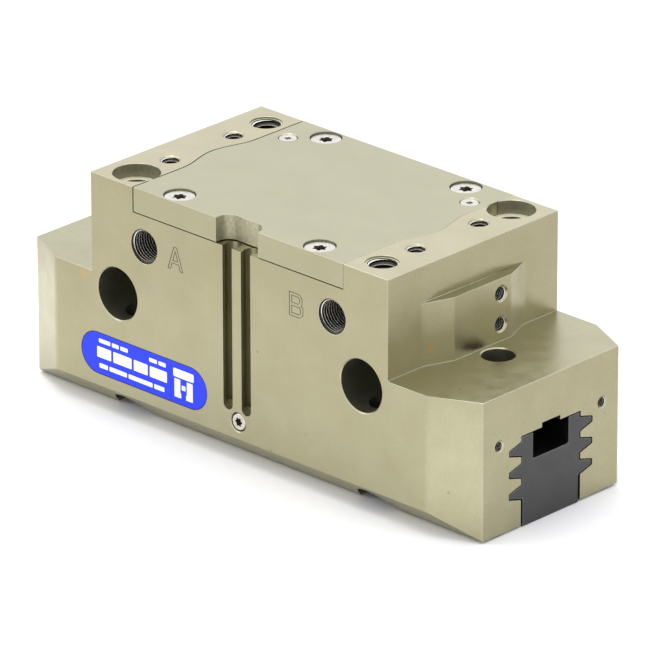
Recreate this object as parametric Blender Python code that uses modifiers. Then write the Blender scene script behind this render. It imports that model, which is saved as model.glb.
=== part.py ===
"""Double-acting parallel gripper: an oval piston pulls a wedge hook, which drives two toothed jaws.

The jaws slide along X, the port face looks to -Y and the mounting face with the cover is on top.
The origin is the centre of the plane of the jaw faces. The gripper rests open, with its piston low.
Sizes are in millimetres, and the mesh helpers turn them into metres.
"""

import math

import bmesh
import bpy
from mathutils import Matrix, Vector

MM = 0.001
GAP = 0.3                   # running or seating gap between two pieces
PAST = 2.0                  # how far a cutter runs past the face it opens

CORNERS = ((-1, -1), (1, -1), (1, 1), (-1, 1))     # signs of x and y

# Housing envelope
LENGTH = 163.3
DEPTH = 65.0
TOP = 68.0
BOTTOM = 0.5                # the jaw faces stand this far below the housing
STEP_Z = 39.7               # top of the two flanges
BLOCK_LENGTH = 108.3        # the narrower upper block
CORNER_X = 68.1             # where the end corners start to run in
CORNER_Y = 26.0             # half width of the end faces
CORNER_ROUND = 5.0
CHAMFER_RISE = 6.5          # long bottom edges
CHAMFER_IN = 6.8

# Trapezoid pads on the ends of the upper block
PAD_PROUD = 3.2
PAD_WALL_Y = 19.1
PAD_FACE_Y = 10.9
PAD_TOP = 57.5
PAD_HOLE = 3.9
PAD_HOLE_Y = 7.1
PAD_HOLE_Z = (44.5, 53.1)

# Cover plate and its seat
COVER_X = 38.2
COVER_BULGE = 2.8
COVER_BULGE_Y = 14.0
SEAT_Z = 60.7
COVER_BOTTOM = SEAT_Z + GAP
NOTCH_X = 7.6
NOTCH_DEPTH = 4.6
NOTCH_ROUND = 3.2
COVER_SEAL_GROOVE = (24.2, 26.2)        # inner and outer radius
COVER_SEAL_BEAD = 0.7
COVER_SCREW_AT = (25.5, 27.8)
COVER_SCREW_HEAD = 4.2                  # radius
COVER_SCREW_SINK = 0.5                  # the head stands this far below the top
COVER_THREAD = 4.6
AIR_PLUG_AT = (33.1, 21.0)
AIR_PLUG_BORE = 5.6

# Oval cylinder, piston and rod
BORE_STRAIGHT = 11.0        # half length of the straight sides
BORE_RADIUS = 23.5
BORE_FLOOR = 35.5
PISTON_LOW = 36.0
PISTON_HIGH = 48.0
PISTON_RELIEF = 2.2
SEAL_GROOVE = (38.6, 41.4)
MAGNET_Z = 44.7
ROD_RADIUS = 8.0
SEAL_POCKET_RADIUS = 12.0
SEAL_POCKET_FLOOR = 29.5
CIRCLIP_GROOVE = (33.2, 34.8)
CIRCLIP_GROOVE_RADIUS = 13.2
ROD_SPIGOT_TOP = 39.0
PISTON_SCREW_SEAT = 42.3
PISTON_HEX = 6.0                        # across the flats of the screw's socket
HOOK_CEILING = 27.2

# Wedge hook: 10 mm of piston travel moves each jaw 13 mm
WEDGE_RATIO = 1.3
HOOK_LOW = 5.4
HOOK_HIGH = 16.4
HOOK_HALF_LOW = 12.0
HOOK_HALF_DEPTH = 7.0
NECK_WIDTH, NECK_HALF = 4.6, 3.0
HEAD_WIDTH, HEAD_HALF = 5.2, 5.5
FLANK_GAP = 0.5             # along X, which is 0.3 square to the flank

# Toothed jaw guide
TOOTH_Z = (10.0, 16.1, 22.2)
GUIDE_ROOT = 11.4
GUIDE_TIP = 16.05
GUIDE_TOP = 25.9
JAW_TOP = 25.6
JAW_INNER_X = 14.0
JAW_FOOT_INNER_X = 25.5
JAW_FOOT_Z = 3.0
JAW_POCKET_X = 52.0
JAW_POCKET_Z = 18.4
JAW_POCKET_Y = 6.6
FINGER_HOLE_X = (50.0, 71.0)
FINGER_SEAT = 12.0                      # centring seat round each finger thread
FINGER_SEAT_DEPTH = 3.0
FINGER_HOLE_DEPTH = 14.0

# Dust cover under the hook
DUST_X, DUST_Y = 12.0, 18.0
DUST_TOP = 2.6
DUST_SCREW_AT = (8.5, 14.8)
DUST_THREAD = 3.0

# Holes in the housing
MOUNT_AT = (44.7, 24.6)
MOUNT_THREAD = 8.0
MOUNT_CORE = 6.8
MOUNT_THREAD_LOW = 48.0
FOOT_BORE = 12.8
FOOT_BORE_TOP = 9.5
SLEEVE_SEAT = 13.2
SLEEVE_DEPTH = 3.7
SMALL_TOP_Y = 12.0
SMALL_TOP = 4.8
SMALL_TOP_LOW = 55.0
END_HOLE = 3.0
END_HOLE_AT = (19.7, 25.6)
END_HOLE_DEPTH = 8.0
SIDE_HOLE_X = 44.6
SIDE_HOLE_Z = 35.5
SIDE_HOLE = 14.7
SIDE_HOLE_DEPTH = 16.0
PORT_AT = (34.3, 52.0)
PORT = 9.7
PORT_DEPTH = 12.0
AIR_WAY_LOW, AIR_WAY_HIGH = 37.0, 57.0  # heights at which air enters the two chambers
FLANGE_HOLE_X = 62.9
FLANGE_HOLE = 9.0
FLANGE_HOLE_DEPTH = 11.0
SLOT_MOUTH = 3.4
SLOT_ROUND = 4.4
SLOT_X = (-3.6, 3.1)
SLOT_LOW = 16.2
STOP_SCREW_Z = 11.8
STOP_HOLE = 5.3
LABEL_AT = (-34.9, 16.4)
LABEL_SIZE = (47.1, 12.1)


# ---- scene and mesh helpers -------------------------------------------------------------------

def clear_scene():
    for obj in list(bpy.data.objects):
        bpy.data.objects.remove(obj, do_unlink=True)


def new_collection(name):
    group = bpy.data.collections.new(name)
    bpy.context.scene.collection.children.link(group)
    return group


clear_scene()
PARTS = new_collection("parallel_gripper")
CUTTERS = new_collection("cutters")


def material(name, colour, roughness, metallic):
    mat = bpy.data.materials.new(name)
    mat.use_nodes = True
    shader = mat.node_tree.nodes["Principled BSDF"]
    shader.inputs["Base Color"].default_value = (*colour, 1.0)
    shader.inputs["Roughness"].default_value = roughness
    shader.inputs["Metallic"].default_value = metallic
    return mat


ALUMINIUM = material("hard_anodised_aluminium", (0.56, 0.54, 0.44), 0.34, 1.0)
JAW_STEEL = material("blackened_jaw_steel", (0.09, 0.09, 0.08), 0.38, 1.0)
GROUND_STEEL = material("ground_steel", (0.45, 0.45, 0.46), 0.25, 1.0)
ZINC = material("zinc_plated_steel", (0.78, 0.76, 0.72), 0.28, 1.0)
SPRING_STEEL = material("spring_steel", (0.16, 0.16, 0.17), 0.35, 1.0)
SEAL_RUBBER = material("seal_rubber", (0.02, 0.02, 0.02), 0.6, 0.0)
MAGNET = material("magnet", (0.30, 0.30, 0.32), 0.3, 1.0)
LABEL_BLUE = material("label_film", (0.04, 0.08, 0.85), 0.35, 0.0)


def add_object(name, mesh, finish=None):
    """A part when it has a finish, otherwise a cutter that the render leaves out."""
    obj = bpy.data.objects.new(name, mesh)
    if finish is None:
        CUTTERS.objects.link(obj)
        obj.hide_render = True
        obj.display_type = "WIRE"
    else:
        PARTS.objects.link(obj)
        mesh.materials.append(finish)
    return obj


def mesh_from(name, bm):
    bmesh.ops.recalc_face_normals(bm, faces=bm.faces)
    mesh = bpy.data.meshes.new(name)
    bm.to_mesh(mesh)
    bm.free()
    return mesh


def on_plane(axis, u, v, along):
    """The point of an outline (u, v) drawn square to the axis, at a distance along it."""
    return Vector({"X": (along, u, v), "Y": (u, along, v), "Z": (u, v, along)}[axis]) * MM


def prism(name, outline, axis, low, high, finish=None):
    """A flat outline extruded along an axis: (y, z) for X, (x, z) for Y and (x, y) for Z."""
    bm = bmesh.new()
    face = bm.faces.new([bm.verts.new(on_plane(axis, u, v, low)) for u, v in outline])
    grown = bmesh.ops.extrude_face_region(bm, geom=[face])["geom"]
    raised = [item for item in grown if isinstance(item, bmesh.types.BMVert)]
    bmesh.ops.translate(bm, vec=on_plane(axis, 0, 0, high - low), verts=raised)
    return add_object(name, mesh_from(name, bm), finish)


def box(name, low, high, finish=None):
    outline = rectangle(low[0], high[0], low[1], high[1])
    return prism(name, outline, "Z", low[2], high[2], finish)


def drill(name, start, end, diameter, segments=20):
    """A round cutter between two points."""
    start, end = Vector(start) * MM, Vector(end) * MM
    turn = (end - start).to_track_quat("Z", "Y").to_matrix().to_4x4()
    radius = diameter / 2 * MM
    bm = bmesh.new()
    bmesh.ops.create_cone(
        bm, cap_ends=True, segments=segments, radius1=radius, radius2=radius,
        depth=(end - start).length, matrix=Matrix.Translation((start + end) / 2) @ turn)
    return add_object(name, mesh_from(name, bm))


def turned(name, profile, place, finish, closed=False, steps=24):
    """A turned piece: (radius, height) points down its outer side, spun round Z at its place."""
    bm = bmesh.new()
    points = [bm.verts.new(Vector((radius, 0, height)) * MM) for radius, height in profile]
    pairs = list(zip(points, points[1:])) + ([(points[-1], points[0])] if closed else [])
    for pair in pairs:
        bm.edges.new(pair)
    mesh = bpy.data.meshes.new(name)
    bm.to_mesh(mesh)
    bm.free()
    obj = add_object(name, mesh, finish)
    obj.location = Vector(place) * MM
    spin = obj.modifiers.new("spin", "SCREW")
    spin.steps = spin.render_steps = steps
    spin.use_merge_vertices = True
    spin.merge_threshold = 0.00001
    return obj


def ring(name, inner, outer, low, high, finish):
    profile = [(outer, high), (outer, low), (inner, low), (inner, high)]
    return turned(name, profile, (0, 0, 0), finish, closed=True)


def o_ring(name, centre_radius, thickness, place, steps=20):
    around = [math.radians(angle) for angle in range(0, 360, 45)]
    profile = [(centre_radius + thickness / 2 * math.cos(a), -thickness / 2 * math.sin(a)) for a in around]
    return turned(name, profile, place, SEAL_RUBBER, closed=True, steps=steps)


def stepped_hole(name, steps, place, segments=20):
    """A round cutter from (diameter, height) steps, from the top down."""
    profile = [(0, steps[0][1]), *[(across / 2, height) for across, height in steps], (0, steps[-1][1])]
    return turned(name, profile, place, None, steps=segments)


def boolean(target, operation, tools):
    for tool in tools:
        step = target.modifiers.new(tool.name, "BOOLEAN")
        step.operation = operation
        step.object = tool
        step.solver = "EXACT"
    return target


def cut(target, *tools):
    return boolean(target, "DIFFERENCE", tools)


def join(target, *tools):
    return boolean(target, "UNION", tools)


def keep_inside(target, *tools):
    return boolean(target, "INTERSECT", tools)


def baked(obj):
    """The object with its modifiers made part of its mesh."""
    bpy.context.view_layer.update()
    evaluated = obj.evaluated_get(bpy.context.evaluated_depsgraph_get())
    mesh = bpy.data.meshes.new_from_object(evaluated)
    obj.modifiers.clear()
    obj.data = mesh
    return obj


def smooth(obj, angle=35):
    obj.data.shade_smooth()
    obj.data.set_sharp_from_angle(angle=math.radians(angle))
    return obj


# ---- outlines ---------------------------------------------------------------------------------

def rectangle(u_low, u_high, v_low, v_high):
    return [(u_low, v_low), (u_high, v_low), (u_high, v_high), (u_low, v_high)]


def filleted(corners, step=20):
    """A closed outline from (u, v, radius) corners, with each rounded corner drawn as an arc."""
    outline = []
    for index, (u, v, radius) in enumerate(corners):
        corner = Vector((u, v))
        if not radius:
            outline.append((u, v))
            continue
        back = (Vector(corners[index - 1][:2]) - corner).normalized()
        ahead = (Vector(corners[(index + 1) % len(corners)][:2]) - corner).normalized()
        opening = back.angle(ahead)
        centre = corner + (back + ahead).normalized() * radius / math.sin(opening / 2)
        start = corner + back * radius / math.tan(opening / 2) - centre
        turn = math.copysign(math.pi - opening, -back.cross(ahead))
        chords = max(2, round(math.degrees(abs(turn)) / step))
        for chord in range(chords + 1):
            spoke = Matrix.Rotation(turn * chord / chords, 2) @ start
            outline.append(tuple(centre + spoke))
    return outline


def stadium(half_straight, radius, segments=12, centre=(0, 0)):
    """An oval of two half circles joined by straight sides."""
    outline = []
    for side, first in ((1, -90), (-1, 90)):
        for chord in range(segments + 1):
            angle = math.radians(first + 180 * chord / segments)
            outline.append((centre[0] + side * half_straight + radius * math.cos(angle),
                            centre[1] + radius * math.sin(angle)))
    return outline


def hexalobe(across, points=12):
    """The outline of a six-lobed screwdriver recess."""
    valley_share = 0.74
    tip, valley = across / 2, across / 2 * valley_share
    outline = []
    for point in range(points):
        radius = tip if point % 2 == 0 else valley
        angle = 2 * math.pi * point / points
        outline.append((radius * math.cos(angle), radius * math.sin(angle)))
    return outline


def cover_outline(margin=0.0):
    """The cover seen from above: its two end edges bulge smoothly in the middle."""
    def edge(y):
        swell = math.cos(math.pi * y / (2 * COVER_BULGE_Y)) ** 2 if abs(y) < COVER_BULGE_Y else 0
        return COVER_X + COVER_BULGE * swell + margin

    half = DEPTH / 2 + (PAST if margin else 0)
    stops = [-half, *[COVER_BULGE_Y * part / 5 for part in range(-5, 6)], half]
    return [(edge(y), y) for y in stops] + [(-edge(y), y) for y in reversed(stops)]


def guide_outline(root, tip, root_half, tip_half, low, top):
    """Cross section (y, z) of the toothed guide, for the slot or, a little smaller, for the jaw."""
    side = [(root, low)]
    for centre in TOOTH_Z:
        side += [(root, centre - root_half), (tip, centre - tip_half),
                 (tip, centre + tip_half), (root, centre + root_half)]
    side.append((root, top))
    return side + [(-y, z) for y, z in reversed(side)]


def sheared(x_low, x_high, z_low, z_high):
    """A strip (x, z) that leans with the wedge flank. Its x values are those at the hook's foot."""
    lean_low, lean_high = WEDGE_RATIO * (z_low - HOOK_LOW), WEDGE_RATIO * (z_high - HOOK_LOW)
    return [(x_low + lean_low, z_low), (x_high + lean_low, z_low),
            (x_high + lean_high, z_high), (x_low + lean_high, z_high)]


def mirrored_x(outline):
    return [(-u, v) for u, v in outline]


# ---- housing ----------------------------------------------------------------------------------

def housing_blank():
    end, block, front = LENGTH / 2, BLOCK_LENGTH / 2, DEPTH / 2
    steps = [(-end, BOTTOM), (end, BOTTOM), (end, STEP_Z), (block, STEP_Z),
             (block, TOP), (-block, TOP), (-block, STEP_Z), (-end, STEP_Z)]
    body = prism("housing", steps, "Y", -front, front, ALUMINIUM)
    far = front + PAST
    run_out = PAST * (end - CORNER_X) / (front - CORNER_Y)
    quarter = [(end + 2 * run_out, CORNER_Y - 2 * PAST, 0), (CORNER_X, front, CORNER_ROUND)]
    plan = filleted(
        [(x, -y, r) for x, y, r in reversed(quarter)] + quarter
        + [(-x, y, r) for x, y, r in reversed(quarter)] + [(-x, -y, r) for x, y, r in quarter])
    half_end = front - CHAMFER_IN
    lean = CHAMFER_IN / CHAMFER_RISE * PAST
    end_view = [(-half_end + lean, BOTTOM - PAST), (half_end - lean, BOTTOM - PAST),
                (front, BOTTOM + CHAMFER_RISE), (far, BOTTOM + CHAMFER_RISE + PAST / 4),
                (far, TOP + PAST), (-far, TOP + PAST), (-far, BOTTOM + CHAMFER_RISE + PAST / 4),
                (-front, BOTTOM + CHAMFER_RISE)]
    keep_inside(body, prism("plan_limits", plan, "Z", BOTTOM - PAST, TOP + PAST))
    keep_inside(body, prism("end_limits", end_view, "X", -end - PAST, end + PAST))
    for side in (-1, 1):
        sink = 1.0
        pad = [(side * (block - sink), -PAD_WALL_Y), (side * block, -PAD_WALL_Y),
               (side * (block + PAD_PROUD), -PAD_FACE_Y), (side * (block + PAD_PROUD), PAD_FACE_Y),
               (side * block, PAD_WALL_Y), (side * (block - sink), PAD_WALL_Y)]
        join(body, prism(f"pad_{side}", pad, "Z", STEP_Z - sink, PAD_TOP))
    return body


def cut_cylinder(body):
    """Cover seat, oval bore, and the stepped hole for the rod, its seal and its retaining ring."""
    pocket, rod = 2 * SEAL_POCKET_RADIUS, 2 * (ROD_RADIUS + GAP)
    groove, (groove_low, groove_high) = 2 * CIRCLIP_GROOVE_RADIUS, CIRCLIP_GROOVE
    form = [(pocket, BORE_FLOOR + PAST), (pocket, groove_high), (groove, groove_high), (groove, groove_low),
            (pocket, groove_low), (pocket, SEAL_POCKET_FLOOR), (rod, SEAL_POCKET_FLOOR),
            (rod, HOOK_CEILING - PAST)]
    cut(body,
        prism("cover_seat", cover_outline(GAP), "Z", SEAT_Z, TOP + PAST),
        prism("bore", stadium(BORE_STRAIGHT, BORE_RADIUS), "Z", BORE_FLOOR, SEAT_Z + PAST),
        stepped_hole("rod_bore", form, (0, 0, 0), 24))


def cut_guide(body):
    """The toothed slot that both jaws share, and the dust cover's recess under its middle."""
    end = LENGTH / 2 + PAST
    slot = guide_outline(GUIDE_ROOT, GUIDE_TIP, 2.2, 0.87, BOTTOM - PAST, GUIDE_TOP)
    cut(body,
        prism("guide", slot, "X", -end, end),
        prism("guide_notch", rectangle(-3.5, 3.5, GUIDE_TOP - 1, HOOK_CEILING), "X", -end, end),
        box("hook_room", (-37, -8, GUIDE_TOP - 1), (37, 8, HOOK_CEILING)),
        box("dust_recess", (-DUST_X - GAP, -DUST_Y - GAP, BOTTOM - PAST),
            (DUST_X + GAP, DUST_Y + GAP, DUST_TOP + GAP)))
    for index, (sx, sy) in enumerate(CORNERS):
        x, y = sx * DUST_SCREW_AT[0], sy * DUST_SCREW_AT[1]
        cut(body, drill(f"dust_thread_{index}", (x, y, BOTTOM), (x, y, 7.0), DUST_THREAD, segments=12))


def cut_mounting_holes(body):
    """Corner holes right through, with cross holes, centring seats and bottom counterbores."""
    thread = [(MOUNT_THREAD, MOUNT_THREAD_LOW), (MOUNT_CORE, MOUNT_THREAD_LOW), (MOUNT_CORE, FOOT_BORE_TOP),
              (FOOT_BORE, FOOT_BORE_TOP), (FOOT_BORE, BOTTOM - PAST)]
    seat = [(SLEEVE_SEAT, TOP + PAST), (SLEEVE_SEAT, TOP - SLEEVE_DEPTH), (MOUNT_THREAD, TOP - SLEEVE_DEPTH)]
    mouth = [(8.8, TOP + PAST), (8.8, TOP), (MOUNT_THREAD, TOP - 0.4)]
    end = LENGTH / 2
    end_y, end_z = END_HOLE_AT
    for index, (sx, sy) in enumerate(CORNERS):
        x, y = sx * MOUNT_AT[0], sy * MOUNT_AT[1]
        side_x, front = sx * SIDE_HOLE_X, sy * DEPTH / 2
        top_y = sy * SMALL_TOP_Y
        cut(body,
            stepped_hole(f"mount_{index}", (seat if sx == sy else mouth) + thread, (x, y, 0)),
            drill(f"side_hole_{index}", (side_x, front - sy * SIDE_HOLE_DEPTH, SIDE_HOLE_Z),
                  (side_x, front + sy * PAST, SIDE_HOLE_Z), SIDE_HOLE, segments=24),
            drill(f"small_top_{index}", (x, top_y, SMALL_TOP_LOW), (x, top_y, TOP + PAST),
                  SMALL_TOP, segments=16),
            drill(f"end_hole_{index}", (sx * (end - END_HOLE_DEPTH), sy * end_y, end_z),
                  (sx * (end + PAST), sy * end_y, end_z), END_HOLE, segments=12))
    pad_hole_depth = 8.0
    for side in (-1, 1):
        flange_x, face = side * FLANGE_HOLE_X, side * (BLOCK_LENGTH / 2 + PAD_PROUD)
        cut(body, drill(f"flange_hole_{side}", (flange_x, 0, STEP_Z - FLANGE_HOLE_DEPTH),
                        (flange_x, 0, STEP_Z + PAST), FLANGE_HOLE))
        for height in PAD_HOLE_Z:
            start = (face - side * pad_hole_depth, side * PAD_HOLE_Y, height)
            end = (face + side * PAST, side * PAD_HOLE_Y, height)
            cut(body, drill(f"pad_hole_{side}_{height}", start, end, PAD_HOLE, segments=14))


def cut_air_ways(body):
    """Ports A and B in the front, and the drilled ways to the lower and upper chamber."""
    port_x, port_z = PORT_AT
    plug_x, plug_y = AIR_PLUG_AT
    front = -DEPTH / 2
    floor_y = front + PORT_DEPTH
    for side in (-1, 1):
        cut(body, drill(f"port_{side}", (side * port_x, floor_y, port_z),
                        (side * port_x, front - PAST, port_z), PORT, segments=24))
    plug_low, above = 1.8, SEAT_Z + 1
    cut(body,
        drill("way_b", (port_x, floor_y - 2, port_z), (29, -11, AIR_WAY_HIGH), 3.0, segments=10),
        drill("way_a_down", (-port_x, -24, port_z - 3), (-port_x, -24, AIR_WAY_LOW - 1.9), 3.0, segments=10),
        drill("way_a_in", (-port_x - 0.6, -24.7, AIR_WAY_LOW), (-27, -16, AIR_WAY_LOW), 2.4, segments=10))
    for side, height, name in ((-1, AIR_WAY_LOW, "left"), (1, AIR_WAY_HIGH, "right")):
        x = side * plug_x
        cut(body,
            drill(f"way_plug_{name}", (x, plug_y, height - plug_low), (x, plug_y, above), 2.5, segments=10),
            drill(f"way_plug_{name}_in", (x + side * 0.4, plug_y + 0.4, height),
                  (side * 25.5, 13.5, height), 2.0, segments=10))


def cut_front(body):
    """Sensor slots, stop screw hole, label recess and cover screw threads."""
    front = -DEPTH / 2
    inner = front + 0.1 + SLOT_ROUND / 2
    for index, x in enumerate(SLOT_X):
        low, high = (x, inner, SLOT_LOW), (x, inner, SEAT_Z + PAST)
        cut(body,
            prism(f"slot_mouth_{index}", slot_outline(x), "Y", front - PAST, inner),
            drill(f"slot_round_{index}", low, high, SLOT_ROUND, segments=16))
    stop_floor, stop_mouth = (0, front + 9, STOP_SCREW_Z), (0, front - PAST, STOP_SCREW_Z)
    cut(body,
        drill("stop_hole", stop_floor, stop_mouth, STOP_HOLE, segments=16),
        prism("label_recess", label_outline(GAP), "Y", front - PAST, front + 0.6))
    for index, (sx, sy) in enumerate(CORNERS):
        x, y = sx * COVER_SCREW_AT[0], sy * COVER_SCREW_AT[1]
        cut(body, drill(f"cover_thread_{index}", (x, y, 50), (x, y, SEAT_Z + 1), COVER_THREAD, segments=16))


def slot_outline(x):
    """A sensor slot's mouth (x, z): round at its foot and open at the cover seat."""
    half = SLOT_MOUTH / 2
    foot = [(x + half * math.cos(math.radians(a)), SLOT_LOW + half * math.sin(math.radians(a)))
            for a in range(180, 361, 30)]
    return foot + [(x + half, SEAT_Z + PAST), (x - half, SEAT_Z + PAST)]


def label_outline(margin=0.0):
    length, height = LABEL_SIZE
    return stadium((length - height) / 2, height / 2 + margin, 10, LABEL_AT)


def make_housing():
    body = housing_blank()
    cut_cylinder(body)
    cut_guide(body)
    cut_mounting_holes(body)
    cut_air_ways(body)
    cut_front(body)
    return smooth(baked(body))


# ---- cover and its screws ---------------------------------------------------------------------

def make_cover():
    plate = prism("cover", cover_outline(), "Z", COVER_BOTTOM, TOP, ALUMINIUM)
    front = -DEPTH / 2
    notch = filleted([(-NOTCH_X, front - PAST, 0), (NOTCH_X, front - PAST, 0),
                      (NOTCH_X, front + NOTCH_DEPTH, NOTCH_ROUND),
                      (-NOTCH_X, front + NOTCH_DEPTH, NOTCH_ROUND)])
    cut(plate, prism("cable_notch", notch, "Z", COVER_BOTTOM - PAST, TOP + PAST))
    inner, outer = COVER_SEAL_GROOVE
    groove = prism("seal_groove", stadium(BORE_STRAIGHT, outer), "Z", COVER_BOTTOM - PAST,
                   COVER_BOTTOM + 2 * COVER_SEAL_BEAD + GAP)
    cut(groove, prism("groove_core", stadium(BORE_STRAIGHT, inner), "Z", COVER_BOTTOM - 2 * PAST,
                      COVER_BOTTOM + 2 * PAST))
    cut(plate, groove)
    mouth, shank = 2 * COVER_SCREW_HEAD + GAP, 5.0
    for index, (sx, sy) in enumerate(CORNERS):
        x, y = sx * COVER_SCREW_AT[0], sy * COVER_SCREW_AT[1]
        form = [(mouth, TOP + PAST), (mouth, TOP - 0.95), (shank, TOP - 2.4), (shank, COVER_BOTTOM - PAST)]
        cut(plate, stepped_hole(f"cover_hole_{index}", form, (x, y, 0)))
    for side in (-1, 1):
        form = [(AIR_PLUG_BORE, TOP + PAST), (AIR_PLUG_BORE, 63.2), (2.0, 63.2), (2.0, COVER_BOTTOM - PAST)]
        cut(plate, stepped_hole(f"plug_bore_{side}", form, (side * AIR_PLUG_AT[0], AIR_PLUG_AT[1], 0), 16))
    smooth(baked(plate))


def drive_screw(name, profile, recess, recess_depth, finish=ZINC):
    """A turned screw standing on the origin's -Z side, with a six-lobed recess in its head."""
    screw = turned(name, profile, (0, 0, 0), finish, steps=16)
    recess_cut = prism(name + "_recess", hexalobe(recess), "Z", -recess_depth, PAST)
    return smooth(baked(cut(screw, recess_cut)))


def copies(first, places, rotation=None):
    """Puts the first piece at the first place and a copy, sharing its mesh, at each other place."""
    stem = first.name
    for index, place in enumerate(places):
        obj = first if index == 0 else bpy.data.objects.new(stem, first.data)
        if index:
            PARTS.objects.link(obj)
        obj.name = f"{stem}_{index + 1}"
        obj.location = Vector(place) * MM
        if rotation:
            obj.rotation_euler = rotation


def corner_places(at, height):
    return [(sx * at[0], sy * at[1], height) for sx, sy in CORNERS]


def make_cover_screws():
    head, shank = COVER_SCREW_HEAD, 2.0
    profile = [(0, 0), (head, 0), (head, -0.35), (shank, -2.35), (shank, -14), (0, -14)]
    places = corner_places(COVER_SCREW_AT, TOP - COVER_SCREW_SINK)
    copies(drive_screw("cover_screw", profile, 3.95, 1.7), places)


def make_air_plugs():
    profile = [(0, 0), (2.35, 0), (2.5, -0.15), (2.5, -3), (0, -3)]
    for side, name in ((-1, "left"), (1, "right")):
        x, y = side * AIR_PLUG_AT[0], AIR_PLUG_AT[1]
        plug = drive_screw(f"air_plug_{name}", profile, 2.8, 1.5)
        plug.location = Vector((x, y, TOP - 0.25)) * MM
        smooth(o_ring(f"air_plug_seal_{name}", 1.75, 1.0, (x, y, 64.0), steps=14))


def make_cover_seal():
    """An O-ring laid in an oval, as a round bead along a closed path."""
    path = bpy.data.curves.new("cover_seal", "CURVE")
    path.dimensions = "3D"
    path.bevel_depth = COVER_SEAL_BEAD * MM
    path.bevel_resolution = 1
    outline = stadium(BORE_STRAIGHT, sum(COVER_SEAL_GROOVE) / 2)
    spline = path.splines.new("POLY")
    spline.points.add(len(outline) - 1)
    for point, (x, y) in zip(spline.points, outline):
        point.co = (x * MM, y * MM, (COVER_BOTTOM + COVER_SEAL_BEAD) * MM, 1)
    spline.use_cyclic_u = True
    path.materials.append(SEAL_RUBBER)
    PARTS.objects.link(bpy.data.objects.new("cover_seal", path))


# ---- piston, rod seal and wedge hook ----------------------------------------------------------

def make_piston():
    radius = BORE_RADIUS - GAP
    relief = radius - 1.6
    piston = prism("piston", stadium(BORE_STRAIGHT, relief), "Z", PISTON_LOW, PISTON_HIGH, ALUMINIUM)
    join(piston, prism("piston_skirt", stadium(BORE_STRAIGHT, radius), "Z", PISTON_LOW + PISTON_RELIEF,
                       PISTON_HIGH - PISTON_RELIEF + 0.9))
    groove = prism("ring_groove_cut", stadium(BORE_STRAIGHT, radius + PAST), "Z", *SEAL_GROOVE)
    cut(groove, prism("ring_groove_core", stadium(BORE_STRAIGHT, radius - 2.4), "Z",
                      SEAL_GROOVE[0] - 1, SEAL_GROOVE[1] + 1))
    head, shank, spigot, o_ring_bore = 13.6, 8.6, 10.6, 15.1
    seat, spigot_top = PISTON_SCREW_SEAT - GAP, ROD_SPIGOT_TOP + GAP
    form = [(head, PISTON_HIGH + PAST), (head, seat), (shank, seat), (shank, spigot_top),
            (spigot, spigot_top), (spigot, 38.1), (o_ring_bore, 38.1), (o_ring_bore, PISTON_LOW - PAST)]
    cut(piston, groove,
        drill("magnet_pocket", (0, -radius + 4.2, MAGNET_Z), (0, -radius - PAST, MAGNET_Z),
              5.6, segments=16),
        stepped_hole("screw_hole", form, (0, 0, 0), 24))
    smooth(baked(piston))


def make_piston_seal():
    radius = BORE_RADIUS - GAP
    low, high = SEAL_GROOVE[0] + GAP, SEAL_GROOVE[1] - GAP
    seal = prism("piston_seal", stadium(BORE_STRAIGHT, radius), "Z", low, high, SEAL_RUBBER)
    cut(seal, prism("piston_seal_hole", stadium(BORE_STRAIGHT, radius - 2.1), "Z", low - 1, high + 1))
    smooth(baked(seal))


def make_piston_magnet():
    front = -BORE_RADIUS + GAP
    magnet = turned("piston_magnet", [(0, 0), (2.5, 0), (2.5, -3.6), (0, -3.6)],
                    (0, front + 0.3, MAGNET_Z), MAGNET, steps=16)
    magnet.rotation_euler = (math.pi / 2, 0, 0)
    smooth(magnet)


def make_piston_screw():
    profile = [(0, 5), (6.2, 5), (6.5, 4.7), (6.5, 0), (3.7, 0), (3.7, -18), (3.2, -18.6), (0, -18.6)]
    screw = turned("piston_screw", profile, (0, 0, PISTON_SCREW_SEAT), ZINC, steps=20)
    corner = PISTON_HEX / math.sqrt(3)
    angles = [math.radians(angle) for angle in range(0, 360, 60)]
    hexagon = [(corner * math.cos(angle), corner * math.sin(angle)) for angle in angles]
    socket = prism("hex_socket", hexagon, "Z", PISTON_SCREW_SEAT + 2.2, PISTON_SCREW_SEAT + 5 + PAST)
    smooth(baked(cut(screw, socket)))


def make_rod_seal():
    inner = ROD_RADIUS + GAP
    outer = SEAL_POCKET_RADIUS - GAP
    smooth(ring("rod_seal", inner, outer, 29.8, 32.0, SEAL_RUBBER))
    low, high = CIRCLIP_GROOVE
    smooth(ring("seal_retainer", inner, outer, low - 0.9, low, GROUND_STEEL))
    circlip = ring("retaining_ring", 10.2, CIRCLIP_GROOVE_RADIUS - GAP, low + GAP, high - GAP, SPRING_STEEL)
    opening = prism("circlip_gap", [(0, 0), (20, -7), (20, 7)], "Z", 30, 38)
    smooth(baked(cut(circlip, opening)))


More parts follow.
